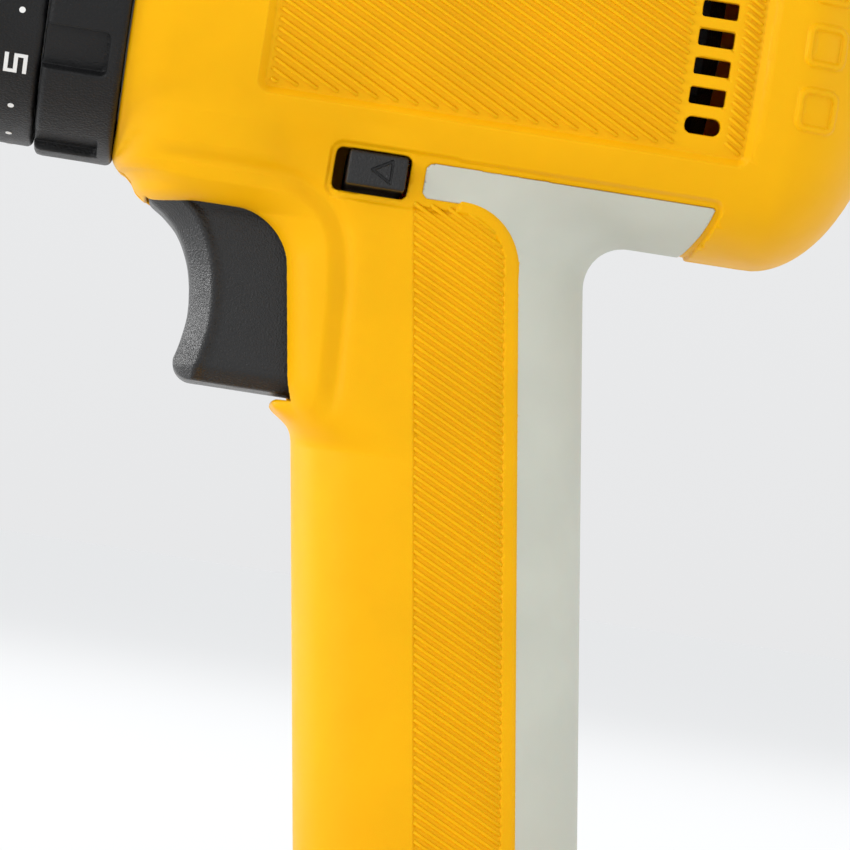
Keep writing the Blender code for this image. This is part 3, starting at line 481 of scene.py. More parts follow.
def grip_field(side):
    """The grey overmould of one side, 1 for left and -1 for right."""

    def field(x, y, w):
        outside = body(x, y, w)
        skin = np.maximum(outside + GREY_SINK, -outside - 1.6 - GREY_SINK)
        return np.maximum(np.maximum(skin, GRIP_ZONE(x, w) - 0.3), 0.02 - side * y)

    return field


def trigger_field(x, y, w):
    """The key: a proud ridge behind the finger's hollow, which slopes in towards the middle."""
    back = np.maximum(-FINGER(x, w), 0)
    half = 11.5 + 0.5 * np.exp(-(((back - 3.6) / 0.8) ** 2)) - 5.0 * np.clip(1 - back / 3.2, 0, 1) ** 1.3
    half -= 1.6 * (1 - step_up(w, -59.8, -56.4)) ** 2
    return meet(TRIGGER(x, w), (np.abs(y) - half) * 0.6, 0.5)


# ---------------------------------------------------------------- turned pieces

BAND_RADIUS = 29.2
BAND_ENDS = (68.8, 83.0)
MODE_RADIUS = 30.2
MODE_ENDS = (56.9, 68.4)
COLLAR_BORE = 23.3
POCKETS = 9


def mode_ring_field(x, y, w):
    """The rear collar, with a ring of finger pockets open towards the front."""
    r = np.hypot(y, w)
    d = meet(r - MODE_RADIUS, np.abs(x - sum(MODE_ENDS) / 2) - (MODE_ENDS[1] - MODE_ENDS[0]) / 2, 1.0)
    turn = 2 * math.pi / POCKETS
    angle = np.arctan2(y, w) - math.radians(3)
    around = (np.mod(angle + turn / 2, turn) - turn / 2) * MODE_RADIUS
    sunk = rectangle(around, x, -3.6, 3.6, MODE_ENDS[0] + 2.2, MODE_ENDS[1] + 4, 0.9)
    floor = MODE_RADIUS - 1.35 - r
    d = meet(d, -np.maximum(sunk, floor), 0.25)
    return meet(d, COLLAR_BORE - r, 0.4)


def band_field(x, y, w):
    """The numbered collar, which falls away a little at its front."""
    r = np.hypot(y, w)
    middle, half = sum(BAND_ENDS) / 2, (BAND_ENDS[1] - BAND_ENDS[0]) / 2
    d = meet(r - BAND_RADIUS + 0.012 * np.clip(x - 74, 0, 9) ** 2, np.abs(x - middle) - half, 0.8)
    return meet(d, COLLAR_BORE - r, 0.4)


def capsule(u, v, a, b, radius):
    """Distance to a stroke with round ends from a to b."""
    e = np.subtract(b, a)
    t = np.clip(((u - a[0]) * e[0] + (v - a[1]) * e[1]) / (e @ e), 0, 1)
    return np.hypot(u - a[0] - t * e[0], v - a[1] - t * e[1]) - radius


# The engraved arrowhead's corners, as (x, w).
ARROW = ((18.7, -26.0), (15.9, -24.4), (15.9, -27.6))


def selector_field(x, y, w):
    """The forward and reverse bar, which stands out of both sides."""
    x, w = x - 0.6, w + 0.2
    plan = rectangle(x, w, SELECTOR_LOW[0], SELECTOR_HIGH[0], SELECTOR_LOW[2], SELECTOR_HIGH[2], 0.45)
    d = meet(plan, np.abs(y - (SELECTOR_LOW[1] + SELECTOR_HIGH[1]) / 2) - 20.0, 0.45)
    line = capsule(x, w, ARROW[0], ARROW[1], 0.16)
    line = np.minimum(line, capsule(x, w, ARROW[1], ARROW[2], 0.16))
    line = np.minimum(line, capsule(x, w, ARROW[2], ARROW[0], 0.16))
    return np.maximum(d, -np.maximum(line, SELECTOR_HIGH[1] - 0.3 - y))


def lamp_field(x, y, w):
    """The work light's domed lens, kept inside the chin."""
    along = (x - LIGHT_AT.x) * LIGHT_AIM.x + (w - LIGHT_AT.z) * LIGHT_AIM.z
    across = np.hypot((x - LIGHT_AT.x) * LIGHT_AIM.z - (w - LIGHT_AT.z) * LIGHT_AIM.x, y)
    dome = np.hypot(along + 4.2, across) - 4.6
    return np.maximum(meet(across - 2.5, np.maximum(dome, -along - 4.5), 0.2), body(x, y, w) + 0.5)


SLEEVE_FLUTES = 12
SLEEVE_BORE = 15.1


def sleeve_field(x, y, w):
    """The keyless chuck's sleeve: twelve scooped flutes between fine knurled lands, and a rounded nose."""
    r = np.hypot(y, w)
    taper = np.interp(x, (109, 113.5, 118.4, 119.2), (18.7, 17.4, 14.8, 14.0))
    outside = (r - taper) * 0.93
    turn = 2 * math.pi / SLEEVE_FLUTES
    angle = np.mod(np.arctan2(w, y) + turn / 2, turn) - turn / 2
    side, up = r * np.sin(angle), r * np.cos(angle)
    flute = np.maximum(np.hypot(side, up - 21.4) - 3.5, np.abs(x - 99.4) - 9.2)
    groove = np.hypot(r - 18.9, x - 109.6) - 0.7
    d = meet(outside, np.abs(x - 103.1) - 15.9, 0.9)
    d = meet(d, -flute, 0.35)
    d = meet(d, -groove, 0.15)
    bore = np.where(x > 112.2, 12.65, SLEEVE_BORE)
    return np.maximum(d, (bore - r) * 0.9)


def battery_plan(x, y, inset):
    return rectangle(x, y, -41.4 + inset, 41.4 - inset, -31.0 + inset, 31.0 - inset, BASE_CORNER - inset)


def lower_case_field(x, y, w):
    """The pack's tray: rounded foot, a grip rib round the middle and vent slits in the sides."""
    z = w + SPINDLE
    d = meet(battery_plan(x, y, 0), np.abs(z - 6.5) - 6.5, 2.4)
    ring = np.maximum(-battery_plan(x, y, 0) - 0.6, np.abs(z - 9.6) - 0.45)
    d = np.maximum(d, -ring)
    slit = np.abs(np.mod(x + 2.5, 5) - 2.5) - 0.9
    row = np.maximum(slit, np.abs(x) - 22.4)
    d = np.maximum(d, -np.maximum(row, np.maximum(np.abs(z - 5.6) - 2.2, 30.2 - np.abs(y))))
    from_foot = np.hypot(np.abs(x) - 32, np.abs(y) - 22)
    feet = np.maximum(np.abs(from_foot - 3.8) - 0.4, z - 0.5)
    d = np.maximum(d, -feet)
    inside = np.maximum(battery_plan(x, y, 2.3), 2.2 - z)
    return np.maximum(d, -inside)


def upper_case_field(x, y, w):
    """The pack's cover, with the slide-on rail on top and a finger scoop at each side."""
    z = w + SPINDLE
    d = meet(battery_plan(x, y, 0), np.abs(z - 19.8) - 6.5, 1.2)
    scoop = np.hypot((x - 22) * 0.42, (z - 20.2) * 1.1) - 4.4
    scoop = np.maximum(scoop, 30.1 - np.abs(y) + 0.12 * np.abs(np.mod(z, 1.6) - 0.8))
    d = meet(d, -scoop, 0.3)
    inside = np.maximum(battery_plan(x, y, 2.4), z - 23.6)
    block = np.maximum(33.4 - x, np.abs(y) - 10.5)
    d = np.maximum(d, -np.maximum(inside, -block))
    web = np.maximum(np.maximum(-32 - x, x - 41.2), np.maximum(np.abs(y) - 18.2, np.abs(z - 27.9) - 1.9))
    flange = np.maximum(np.maximum(-32 - x, x - 41.2), np.maximum(np.abs(y) - 22.2, np.abs(z - 30.3) - 0.9))
    d = np.minimum(d, np.minimum(web, flange))
    slits = np.maximum(np.abs(np.mod(y + 4, 8) - 4) - 0.8, np.abs(y) - 9)
    d = np.maximum(d, -np.maximum(np.maximum(slits, np.maximum(x + 22, -40 - x)), 26.8 - z))
    return np.maximum(d, -np.maximum(np.maximum(35.6 - x, np.abs(y) - 8.4), 14.8 - z))


def latch_field(x, y, w):
    """The battery's release key: a rounded block with three finger ribs on its face."""
    z = w + SPINDLE
    d = rectangle(x, y, 36.0, 42.3, -8, 8, 1.4)
    d = meet(d, np.abs(z - 24.5) - 6.5, 0.8)
    waves = np.exp(-(((np.mod(z - 21.2, 2.2) - 1.1) / 0.45) ** 2))
    place = step_up(-np.abs(z - 23.5), -3.4, -3.0) * step_up(-np.abs(y), -6.8, -6.0) * step_up(x, 41, 41.6)
    return d - 0.7 * waves * place


def screw_field(place):
    """A pan-head thread-forming screw with a cross recess, its head outwards on the right side."""

    def field(x, y, w):
        u, v = x - place[0], w - place[1]
        r, out = np.hypot(u, v), -y - (place[2] - SCREW_SEAT + 0.05)
        head = meet(r - 2.6, np.abs(out - 1.0) - 1.0, 0.5)
        thread = 0.16 * np.cos(2 * math.pi * y / 1.1 + np.arctan2(v, u))
        shank = np.maximum((r - 1.3 - thread) * 0.7, np.maximum(out - 0.5, -out - place[2] + 7))
        cross = np.minimum(
            np.maximum(np.abs(u) - 0.35, np.abs(v) - 1.5), np.maximum(np.abs(v) - 0.35, np.abs(u) - 1.5)
        )
        return np.maximum(np.minimum(head, shank), -np.maximum(cross, 0.9 - out))

    return field


SPEED_LOW, SPEED_HIGH = (np.array(c) / MM - (0, 0, SPINDLE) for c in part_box("speed_selector"))


def speed_field(x, y, w):
    """The top slider, with cross ribs for the thumb."""
    d = rectangle(x, y, SPEED_LOW[0], SPEED_HIGH[0], SPEED_LOW[1], SPEED_HIGH[1], 1.2)
    d = meet(d, np.abs(w - (SPEED_LOW[2] + SPEED_HIGH[2]) / 2) - (SPEED_HIGH[2] - SPEED_LOW[2]) / 2, 0.5)
    cut = np.hypot(np.mod(x - SPEED_LOW[0], 2.0) - 1.0, w - SPEED_HIGH[2] - 0.1) - 0.55
    return np.maximum(d, -np.maximum(cut, np.abs(y) - 4.6))


# ---------------------------------------------------------------- ribs and figures


def strokes(zone, angle, spacing, low, high):
    """Ends of the straight lines, `angle` degrees below the axis going back, that lie inside a zone."""
    along = np.array([-math.cos(math.radians(angle)), -math.sin(math.radians(angle))])
    across = np.array([-along[1], along[0]])
    corners = np.array([(x, w) for x in (low[0], high[0]) for w in (low[1], high[1])])
    spread, reach = corners @ across, corners @ along
    found = []
    for c in np.arange(spread.min(), spread.max(), spacing):
        s = np.arange(reach.min(), reach.max(), 0.1)
        p = across * c + along * s[:, None]
        inside = np.concatenate([[False], zone(p[:, 0], p[:, 1]) < 0, [False]])
        edges = np.flatnonzero(inside[1:] != inside[:-1])
        for a, b in zip(edges[::2], edges[1::2]):
            if b - a > 12:
                found.append((p[a], p[b - 1]))
    return found


BAR_STEP = 1.4


def bars(name, lines, surface, side, width, low, high, taper=0.45):
    """Low rounded bars along lines of the side view, standing on a field's surface."""
    rows, sizes = [], []
    for a, b in lines:
        length = np.linalg.norm(b - a)
        between = np.linspace(taper, length - taper, max(2, int(length / BAR_STEP)))
        stops = np.unique(np.concatenate([[0, taper], between, [length - taper, length]]))
        rows.append(a + (b - a) * (stops / length)[:, None])
        sizes.append(len(stops))
    flat = np.concatenate(rows)
    y = np.full(len(flat), 20.0 * side)
    for _ in range(12):
        here = surface(flat[:, 0], y, flat[:, 1])
        steep = (surface(flat[:, 0], y + 0.05 * side, flat[:, 1]) - here) / 0.05
        y -= side * np.clip(here / np.maximum(steep, 0.2), -6, 6)
    centres = np.stack([flat[:, 0], y, flat[:, 1]], 1)
    normals = slope(surface, centres, 0.2)
    normals /= np.linalg.norm(normals, axis=1)[:, None]
    profile = [(-0.5, low), (-0.42, low + 0.72 * (high - low)), (-0.24, high), (0.24, high)]
    profile += [(0.42, low + 0.72 * (high - low)), (0.5, low)]
    points, faces, at = [], [], 0
    for count in sizes:
        c, n = centres[at : at + count], normals[at : at + count]
        t = c[-1] - c[0]
        t = t / np.linalg.norm(t)
        b = np.cross(n, t)
        b /= np.linalg.norm(b, axis=1)[:, None]
        first = at * 6
        for u, v in profile:
            lift = np.full(count, v)
            lift[[0, -1]] = low
            points.append(c + b * (u * width) + n * lift[:, None])
        for k in range(count - 1):
            for j in range(len(profile)):
                here, beside = first + j * count + k, first + (j + 1) % len(profile) * count + k
                faces.append((here, beside, beside + 1, here + 1))
        at += count
    quads = np.array(faces) if side > 0 else np.array(faces)[:, ::-1]
    return mesh_object(name, np.concatenate(points), np.zeros((0, 3), int), quads)


def panel_floor(x, y, w):
    """The sunk floor of the ribbed panel."""
    return body(x, y, w) + PANEL_SINK


FLOOR_INSET = PANEL_WALL + 0.55
MAIN_RIBS = (VENT_X[1] + 0.9, PANEL[1] - FLOOR_INSET, PANEL[2] + FLOOR_INSET, PANEL[3] - FLOOR_INSET)
REAR_RIBS = (PANEL[0] + FLOOR_INSET - 0.3, VENT_X[0] - 0.9, PANEL[2] + FLOOR_INSET, PANEL[3] - FLOOR_INSET)


def rib_lines():
    """The side panel's ribs, in front of the vents and behind them."""
    lines = []
    for zone, angle, spacing in ((MAIN_RIBS, 26.0, 1.27), (REAR_RIBS, 31.0, 1.0)):
        def inside(x, w, zone=zone):
            return rectangle(x, w, *zone, 0.01)
        lines += strokes(inside, angle, spacing, zone[::2], zone[1::2])
    return lines


def land_lines():
    """The handle panel's lands, between its grooves."""
    return strokes(lambda x, w: GROOVES(x, w) - 0.3, 26.0, 1.11, (-18, -134), (14, -30))


# The seven bars of a digit, as ends on a grid of 2 by 2, and the bars that each digit uses.
SEGMENTS = {
    "a": (0, 2, 2, 2),
    "b": (2, 1, 2, 2),
    "c": (2, 0, 2, 1),
    "d": (0, 0, 2, 0),
    "e": (0, 0, 0, 1),
    "f": (0, 1, 0, 2),
    "g": (0, 1, 2, 1),
}
DIGITS = {"0": "abcdef", "1": "bc", "2": "abged", "5": "afgcd"}
# Degrees between settings, the angle of setting 5 below the drill's left, and the figures' place along x.
FIGURE_STEP = 17.0
FIGURE_FIVE = 41.0
FIGURE_AT = 72.15
DIGIT_SIZE = (2.8, 2.75)
STROKE = 0.58


def band_figures():
    """Raised print on the torque band: every fifth setting as a number, the others as dots."""
    points, faces = [], []
    low, high = BAND_RADIUS - 0.08, BAND_RADIUS + 0.08

    def slab(outline, angle):
        """A thin prism over an outline of (around, back) millimetres."""
        first, n = len(points), len(outline)
        for r in (low, high):
            for p, q in outline:
                a = angle + p / BAND_RADIUS
                points.append((FIGURE_AT - q, r * math.cos(a), -r * math.sin(a)))
        faces.append(tuple(range(first, first + n))[::-1])
        faces.append(tuple(range(first + n, first + 2 * n)))
        for k in range(n):
            faces.append((first + k, first + (k + 1) % n, first + n + (k + 1) % n, first + n + k))

    for setting in range(1, 21):
        angle = math.radians(FIGURE_FIVE + (setting - 5) * FIGURE_STEP)
        if setting % 5 and setting != 1:
            slab(arc((0, 0), 0.46, 0, 340, 18), angle)
            continue
        text = str(setting)
        for k, digit in enumerate(text):
            left = (k - len(text) / 2) * (DIGIT_SIZE[0] + 0.8) + 0.4
            for name in DIGITS[digit]:
                p0, q0, p1, q1 = SEGMENTS[name]
                a, b = left + p0 * DIGIT_SIZE[0] / 2, left + p1 * DIGIT_SIZE[0] / 2
                c, d = (q0 - 1) * DIGIT_SIZE[1] / 2, (q1 - 1) * DIGIT_SIZE[1] / 2
                h = STROKE / 2
                slab([(a - h, c - h), (b + h, c - h), (b + h, d + h), (a - h, d + h)], angle)
    mesh = bpy.data.meshes.new("torque_figures")
    mesh.from_pydata([(x * MM, y * MM, (w + SPINDLE) * MM) for x, y, w in points], [], faces)
    obj = bpy.data.objects.new("torque_figures", mesh)
    bpy.context.scene.collection.objects.link(obj)
    return obj


# ---------------------------------------------------------------- materials


class Finish:
    """A procedural material, built node by node on object coordinates in metres."""

    def __init__(self, name, colour, roughness, metal=0.0):
        self.material = bpy.data.materials.new(name)
        self.material.use_nodes = True
        self.nodes, self.links = self.material.node_tree.nodes, self.material.node_tree.links
        self.shader = self.nodes["Principled BSDF"]
        self.shader.inputs["Base Color"].default_value = (*colour, 1)
        self.shader.inputs["Roughness"].default_value = roughness
        self.shader.inputs["Metallic"].default_value = metal
        self.place = self.nodes.new("ShaderNodeTexCoord").outputs["Object"]
        self.bump = None

    def set(self, **values):
        """Sets shader sockets by name, with _ for a space."""
        for name, value in values.items():
            self.shader.inputs[name.replace("_", " ")].default_value = value
        return self

    def noise(self, size, detail=2.0, stretch=(1, 1, 1), rough=0.5, offset=(0, 0, 0)):
        """A noise whose grain is `size` millimetres."""
        mapping = self.nodes.new("ShaderNodeMapping")
        mapping.inputs["Scale"].default_value = stretch
        mapping.inputs["Location"].default_value = offset
        texture = self.nodes.new("ShaderNodeTexNoise")
        texture.inputs["Scale"].default_value = 1 / (size * MM)
        texture.inputs["Detail"].default_value = detail
        texture.inputs["Roughness"].default_value = rough
        self.links.new(self.place, mapping.inputs["Vector"])
        self.links.new(mapping.outputs["Vector"], texture.inputs["Vector"])
        return texture.outputs["Fac"]

    def span(self, value, low, high, out_low, out_high):
        """Maps low to high onto out_low to out_high."""
        node = self.nodes.new("ShaderNodeMapRange")
        node.inputs["From Min"].default_value, node.inputs["From Max"].default_value = low, high
        node.inputs["To Min"].default_value, node.inputs["To Max"].default_value = out_low, out_high
        self.links.new(value, node.inputs["Value"])
        return node.outputs["Result"]

    def mix(self, factor, a, b):
        """A colour between two, each a tuple or another node's output."""
        node = self.nodes.new("ShaderNodeMix")
        node.data_type = "RGBA"
        for socket, colour in ((node.inputs["A"], a), (node.inputs["B"], b)):
            if isinstance(colour, tuple):
                socket.default_value = (*colour, 1)
            else:
                self.links.new(colour, socket)
        self.links.new(factor, node.inputs["Factor"])
        return node.outputs["Result"]

    def raise_by(self, value, distance, strength=1.0):
        """Adds bump of some millimetres."""
        node = self.nodes.new("ShaderNodeBump")
        node.inputs["Distance"].default_value = distance * MM
        node.inputs["Strength"].default_value = strength
        self.links.new(value, node.inputs["Height"])
        if self.bump:
            self.links.new(self.bump, node.inputs["Normal"])
        self.bump = node.outputs["Normal"]
        self.links.new(self.bump, self.shader.inputs["Normal"])
        return self

    def colour(self, value):
        self.links.new(value, self.shader.inputs["Base Color"])
        return self

    def rough(self, value):
        self.links.new(value, self.shader.inputs["Roughness"])
        return self


def moulded(name, colour, roughness, grain=0.3, depth=0.012, change=0.06):
    """Moulded plastic: a fine grain, a slightly uneven colour and an uneven gloss."""
    f = Finish(name, colour, roughness)
    light = tuple(min(1, c * (1 + change)) for c in colour)
    dark = tuple(c * (1 - change) for c in colour)
    f.colour(f.mix(f.span(f.noise(14, 4), 0.35, 0.65, 0, 1), dark, light))
    f.rough(f.span(f.noise(5, 5, rough=0.6), 0.3, 0.7, roughness - 0.05, roughness + 0.05))
    f.raise_by(f.noise(grain, 2), depth)
    return f


def yellow():
    """The housing: satin yellow, with a little light passing under its skin."""
    f = moulded("yellow_shell", (0.83, 0.415, 0.0008), 0.44, 0.22, 0.008, 0.03)
    f.raise_by(f.noise(9, 2), 0.05)
    return f.set(Specular_IOR_Level=0.1, Subsurface_Weight=0.12, Subsurface_Scale=0.002).material


def grey():
    """The soft grip."""
    f = moulded("grey_grip", (0.545, 0.56, 0.49), 0.6, 0.16, 0.006, 0.03)
    return f.set(Specular_IOR_Level=0.25, Subsurface_Weight=0.1, Subsurface_Scale=0.002).material


def black():
    """The collars, the chuck's sleeve and the pack."""
    f = moulded("black_plastic", (0.0105, 0.0107, 0.0112), 0.4, 0.34, 0.17, 0.1)
    return f.set(Specular_IOR_Level=0.2).material


def key_plastic():
    """The trigger and the selector bar: a coarser spark-eroded grain with more sheen."""
    f = moulded("key_plastic", (0.0105, 0.0107, 0.0112), 0.36, 0.28, 0.16, 0.1)
    return f.set(Specular_IOR_Level=0.36).material


def clear():
    """The work light's lens."""
    f = Finish("lens", (0.85, 0.87, 0.88), 0.12)
    f.raise_by(f.noise(1.2, 2), 0.02)
    return f.set(Transmission_Weight=0.4, IOR=1.49).material


def printed():
    """The white figures."""
    return moulded("white_print", (0.75, 0.75, 0.74), 0.5, 0.2, 0.004, 0.04).material


TURNED_GRAIN = 0.04


def metal(name, colour, roughness, turned=True):
    """Metal with the fine rings that turning leaves round the spindle, or an even grain."""
    f = Finish(name, colour, roughness, 1.0)
    stretch = (1, TURNED_GRAIN, TURNED_GRAIN) if turned else (1, 1, 1)
    f.rough(f.span(f.noise(0.25, 3, stretch), 0.3, 0.7, roughness - 0.08, roughness + 0.1))
    f.raise_by(f.noise(0.2, 2, stretch), 0.006)
    return f.material


def wound():
    """The armature: copper windings showing as a stretched grain on laminated steel."""
    f = Finish("rotor", (0.42, 0.2, 0.09), 0.4, 0.8)
    wires = f.noise(0.5, 2, (1, 0.15, 0.15))
    f.colour(f.mix(f.span(wires, 0.4, 0.6, 0, 1), (0.12, 0.1, 0.09), (0.6, 0.26, 0.1)))
    f.rough(f.span(wires, 0.3, 0.7, 0.3, 0.5))
    return f.raise_by(wires, 0.05).material


# ---------------------------------------------------------------- pieces


def at_height(x, y, z):
    """A corner given by its height above the floor."""
    return x, y, z - SPINDLE


shell_left = build("housing_left_shell", left_half, (-57, -0.6, -152), (60, 33.5, 33.5), 0.32)
shell_right = build("housing_right_shell", right_half, (-57, -33.5, -152), (60, 0.6, 33.5), 0.45)
grip_l = build("grip_left_skin", grip_field(1), (-45, -0.6, -140), (14, 28, -21), 0.32)
grip_r = build("grip_right_skin", grip_field(-1), (-45, -28, -140), (14, 0.6, -21), 0.45)
trigger = build("trigger_key", trigger_field, (22, -13, -62), (53, 13, -33), 0.3)
mode_ring = build("mode_ring_collar", mode_ring_field, (56.8, -31, -31), (69, 31, 31), 0.3)
band = build("torque_band_collar", band_field, (68.3, -30, -30), (83.5, 30, 30), 0.35)
selector = build("direction_selector_bar", selector_field, (13, -19, -29), (23, 22, -23), 0.15)
ribs_left = bars("housing_left_ribs", rib_lines(), panel_floor, 1, 0.62, -0.12, 0.42)
ribs_right = bars("housing_right_ribs", rib_lines(), panel_floor, -1, 0.62, -0.12, 0.42)
lands_left = bars("housing_left_lands", land_lines(), body, 1, 0.66, -0.5, 0.0)
lands_right = bars("housing_right_lands", land_lines(), body, -1, 0.66, -0.5, 0.0)
figures = band_figures()
sleeve = build("chuck_sleeve_grip", sleeve_field, (86.9, -19, -19), (119.5, 19, 19), 0.3)
low, high = at_height(-42, -31.5, -0.3), at_height(42, 31.5, 13.4)
lower_case = build("battery_lower_tray", lower_case_field, low, high, 0.42)
low, high = at_height(-42, -31.5, 12.9), at_height(42, 31.5, 31.5)
upper_case = build("battery_upper_cover", upper_case_field, low, high, 0.42)
low, high = at_height(35.6, -8.4, 17.6), at_height(43.4, 8.4, 31.4)
latch_key = build("battery_latch_key", latch_field, low, high, 0.22)
speed_key = build("speed_selector_key", speed_field, SPEED_LOW - 0.4, SPEED_HIGH + 0.4, 0.16)
lamp = build("work_light_lens", lamp_field, (46, -3, -35), (56, 3, -26), 0.12)

YELLOW, GREY, BLACK = yellow(), grey(), black()
KEYS, PRINT, LENS = key_plastic(), printed(), clear()
FINISHES = {
    "yellow_shell": YELLOW,
    "grey_grip": GREY,
    "black_plastic": BLACK,
    "lens": LENS,
    "steel": metal("steel", (0.55, 0.55, 0.56), 0.28),
    "dark_steel": metal("dark_steel", (0.11, 0.11, 0.12), 0.36),
    "gear_case": metal("gear_case", (0.38, 0.385, 0.39), 0.46, False),
    "brass": metal("brass", (0.62, 0.42, 0.16), 0.3),
    "rotor": wound(),
    "cell_wrap": moulded("cell_wrap", (0.02, 0.11, 0.24), 0.3, 0.5, 0.01, 0.12).material,
    "lead_red": moulded("lead_red", (0.5, 0.012, 0.01), 0.38, 0.3, 0.01, 0.1).material,
    "lead_black": moulded("lead_black", (0.012, 0.012, 0.012), 0.38, 0.3, 0.01, 0.1).material,
}


def refinish_nodes():
    """Gives each CAD node the procedural finish of its own material slot."""
    for node in frame["nodes"].values():
        for k, packed in enumerate(node.data.materials):
            node.data.materials[k] = FINISHES[packed.name.split(".")[0]]


refinish_nodes()

for piece, body_name, node, finish, slot in (
    (shell_left, "housing", "housing_left", YELLOW, "yellow_shell"),
    (shell_right, "housing", "housing_right", YELLOW, "yellow_shell"),
    (grip_l, "housing", "grip_left", GREY, "grey_grip"),
    (grip_r, "housing", "grip_right", GREY, "grey_grip"),
    (trigger, "trigger", "trigger", KEYS, "black_plastic"),
    (mode_ring, "mode_ring", "mode_ring", BLACK, "black_plastic"),
    (band, "torque_band", "torque_band", BLACK, "black_plastic"),
    (selector, "direction_selector", "direction_selector", KEYS, "black_plastic"),
    (lamp, "housing", "work_light", LENS, "lens"),
    (sleeve, "chuck_sleeve", "chuck_sleeve", BLACK, "black_plastic"),
    (lower_case, "battery", "battery_lower_case", BLACK, "black_plastic"),
    (upper_case, "battery", "battery_upper_case", BLACK, "black_plastic"),
    (latch_key, "battery_latch", "battery_latch", YELLOW, "yellow_shell"),
    (speed_key, "speed_shift", "speed_selector", BLACK, "black_plastic"),
    (ribs_left, "housing", None, YELLOW, "yellow_shell"),
    (ribs_right, "housing", None, YELLOW, "yellow_shell"),
    (lands_left, "housing", None, YELLOW, "yellow_shell"),
    (lands_right, "housing", None, YELLOW, "yellow_shell"),
    (figures, "torque_band", None, PRINT, "black_plastic"),
):
    piece.data.materials.append(finish)
    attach(piece, body_name)
    if node:
        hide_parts(node)


def screws():
    """A finished screw in place of each CAD one, in the counterbore that is nearest to it."""
    for number in range(1, len(SCREWS) + 1):
        node = f"housing_screw_{number}"
        centre = sum((np.array(c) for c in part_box(node)), np.zeros(3)) / 2 / MM
        x, w, depth = min(SCREWS, key=lambda p: math.hypot(p[0] - centre[0], p[1] + SPINDLE - centre[2]))
        low, high = (x - 3, -depth - 0.5, w - 3), (x + 3, -2.0, w + 3)
        screw = build(f"housing_screw_{number}_pan", screw_field((x, w, depth)), low, high, 0.2)
        screw.data.materials.append(FINISHES["dark_steel"])
        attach(screw, "housing")
        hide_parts(node)


screws()

# ---------------------------------------------------------------- floor, light, camera

FLOOR_SIZE = 80.0


def floor():
    """A wide pale floor just under the object."""
    mesh = bpy.data.meshes.new("floor")
    h = FLOOR_SIZE / 2
    mesh.from_pydata([(-h, -h, 0), (h, -h, 0), (h, h, 0), (-h, h, 0)], [], [(0, 1, 2, 3)])
    obj = bpy.data.objects.new("floor", mesh)
    bpy.context.scene.collection.objects.link(obj)
    obj.location.z = CAD_LOW.z - 0.0005
    f = Finish("floor", (0.93, 0.933, 0.936), 0.9)
    f.set(Specular_IOR_Level=0.0)
    f.rough(f.span(f.noise(40, 3), 0.3, 0.7, 0.75, 0.85))
    obj.data.materials.append(f.material)


def area_light(name, place, target, size, power):
    """A white softbox of that size in metres and power in watts, aimed at a point."""
    lamp = bpy.data.lights.new(name, "AREA")
    lamp.shape = "RECTANGLE"
    lamp.size, lamp.size_y = size
    lamp.energy = power
    obj = bpy.data.objects.new(name, lamp)
    bpy.context.scene.collection.objects.link(obj)
    obj.location = place
    obj.rotation_euler = (Vector(target) - Vector(place)).to_track_quat("-Z", "Y").to_euler()
    return obj


SKY = (0.95, 0.96, 0.97)
HORIZON = (0.89, 0.895, 0.905)
WORLD_STRENGTH = 0.9


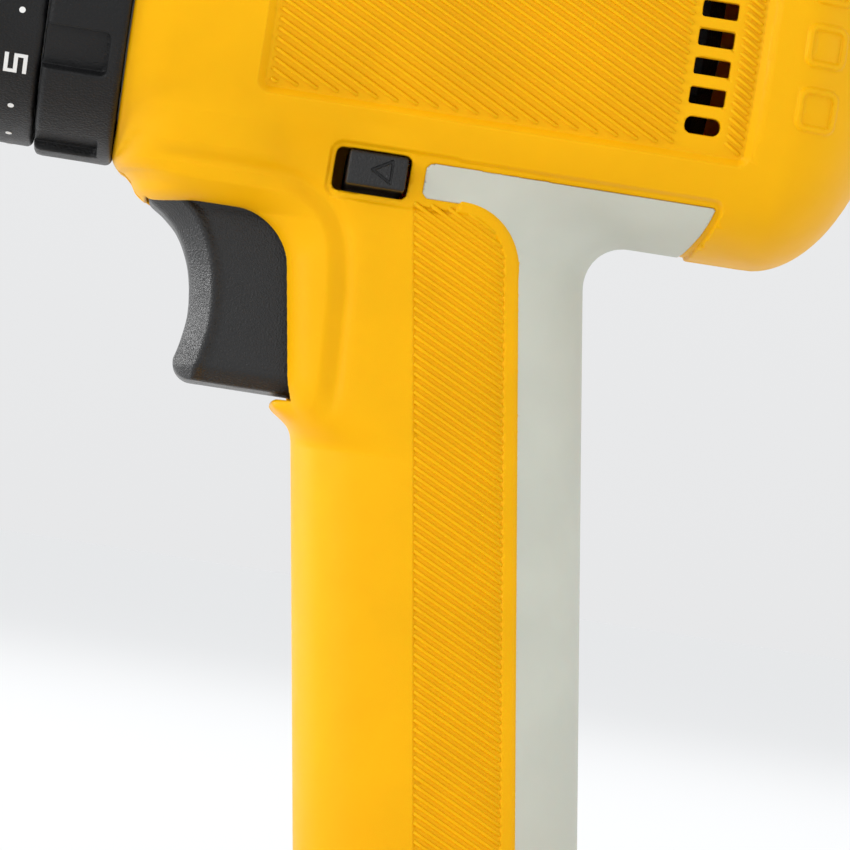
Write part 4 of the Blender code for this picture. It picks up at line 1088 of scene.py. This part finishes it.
def fill_world():
    """Pale all round, a little darker at the horizon, where it meets the floor."""
    world = bpy.data.worlds.new("studio")
    bpy.context.scene.world = world
    world.use_nodes = True
    nodes, links = world.node_tree.nodes, world.node_tree.links
    split = nodes.new("ShaderNodeSeparateXYZ")
    ramp = nodes.new("ShaderNodeValToRGB")
    ramp.color_ramp.elements[0].color = (*HORIZON, 1)
    ramp.color_ramp.elements[1].color = (*SKY, 1)
    ramp.color_ramp.elements[1].position = 0.25
    links.new(nodes.new("ShaderNodeTexCoord").outputs["Generated"], split.inputs["Vector"])
    links.new(split.outputs["Z"], ramp.inputs["Fac"])
    links.new(ramp.outputs["Color"], nodes["Background"].inputs["Color"])
    nodes["Background"].inputs["Strength"].default_value = WORLD_STRENGTH


floor()
fill_world()

LIT_POINT = (0, 0, 0.12)
area_light("key", (1.2, 2.6, 1.0), LIT_POINT, (1.0, 0.8), 13.0)
area_light("nose", (2.8, 1.1, 0.4), LIT_POINT, (0.6, 0.6), 27.0)
area_light("rim", (2.6, -1.4, 0.5), LIT_POINT, (1.0, 1.0), 36.0)
area_light("side", (-2.6, 1.4, 0.6), LIT_POINT, (0.8, 0.8), 7.0)
area_light("back", (-0.4, -2.2, 2.0), LIT_POINT, (1.2, 0.8), 6.0)

CAMERA_YAW = math.radians(2.5)
CAMERA_RISE = math.radians(-1.5)
CAMERA_ROLL = math.radians(8.8)
CAMERA_DISTANCE = 0.8
CAMERA_TARGET = Vector((0.0054, 0.002, 0.1152))
PIXELS_PER_MM = 6.8
IMAGE_SIZE = 850
SENSOR = 36.0


def set_camera():
    """The photograph's view: from the drill's left, close to level, rolled so that the barrel dips."""
    data = bpy.data.cameras.new("camera")
    data.sensor_width = SENSOR
    data.lens = SENSOR * PIXELS_PER_MM * CAMERA_DISTANCE / MM / IMAGE_SIZE
    data.clip_start, data.clip_end = 0.05, 20
    obj = bpy.data.objects.new("camera", data)
    bpy.context.scene.collection.objects.link(obj)
    back = Vector(
        (
            math.sin(CAMERA_YAW) * math.cos(CAMERA_RISE),
            math.cos(CAMERA_YAW) * math.cos(CAMERA_RISE),
            math.sin(CAMERA_RISE),
        )
    )
    right = Vector((0, 0, 1)).cross(back).normalized()
    up = back.cross(right)
    tilted_right = right * math.cos(CAMERA_ROLL) + up * math.sin(CAMERA_ROLL)
    tilted_up = up * math.cos(CAMERA_ROLL) - right * math.sin(CAMERA_ROLL)
    turn = Matrix((tilted_right, tilted_up, back)).transposed().to_4x4()
    obj.matrix_world = Matrix.Translation(CAMERA_TARGET + back * CAMERA_DISTANCE) @ turn
    bpy.context.scene.camera = obj


set_camera()
bpy.context.scene.view_settings.view_transform = "Standard"
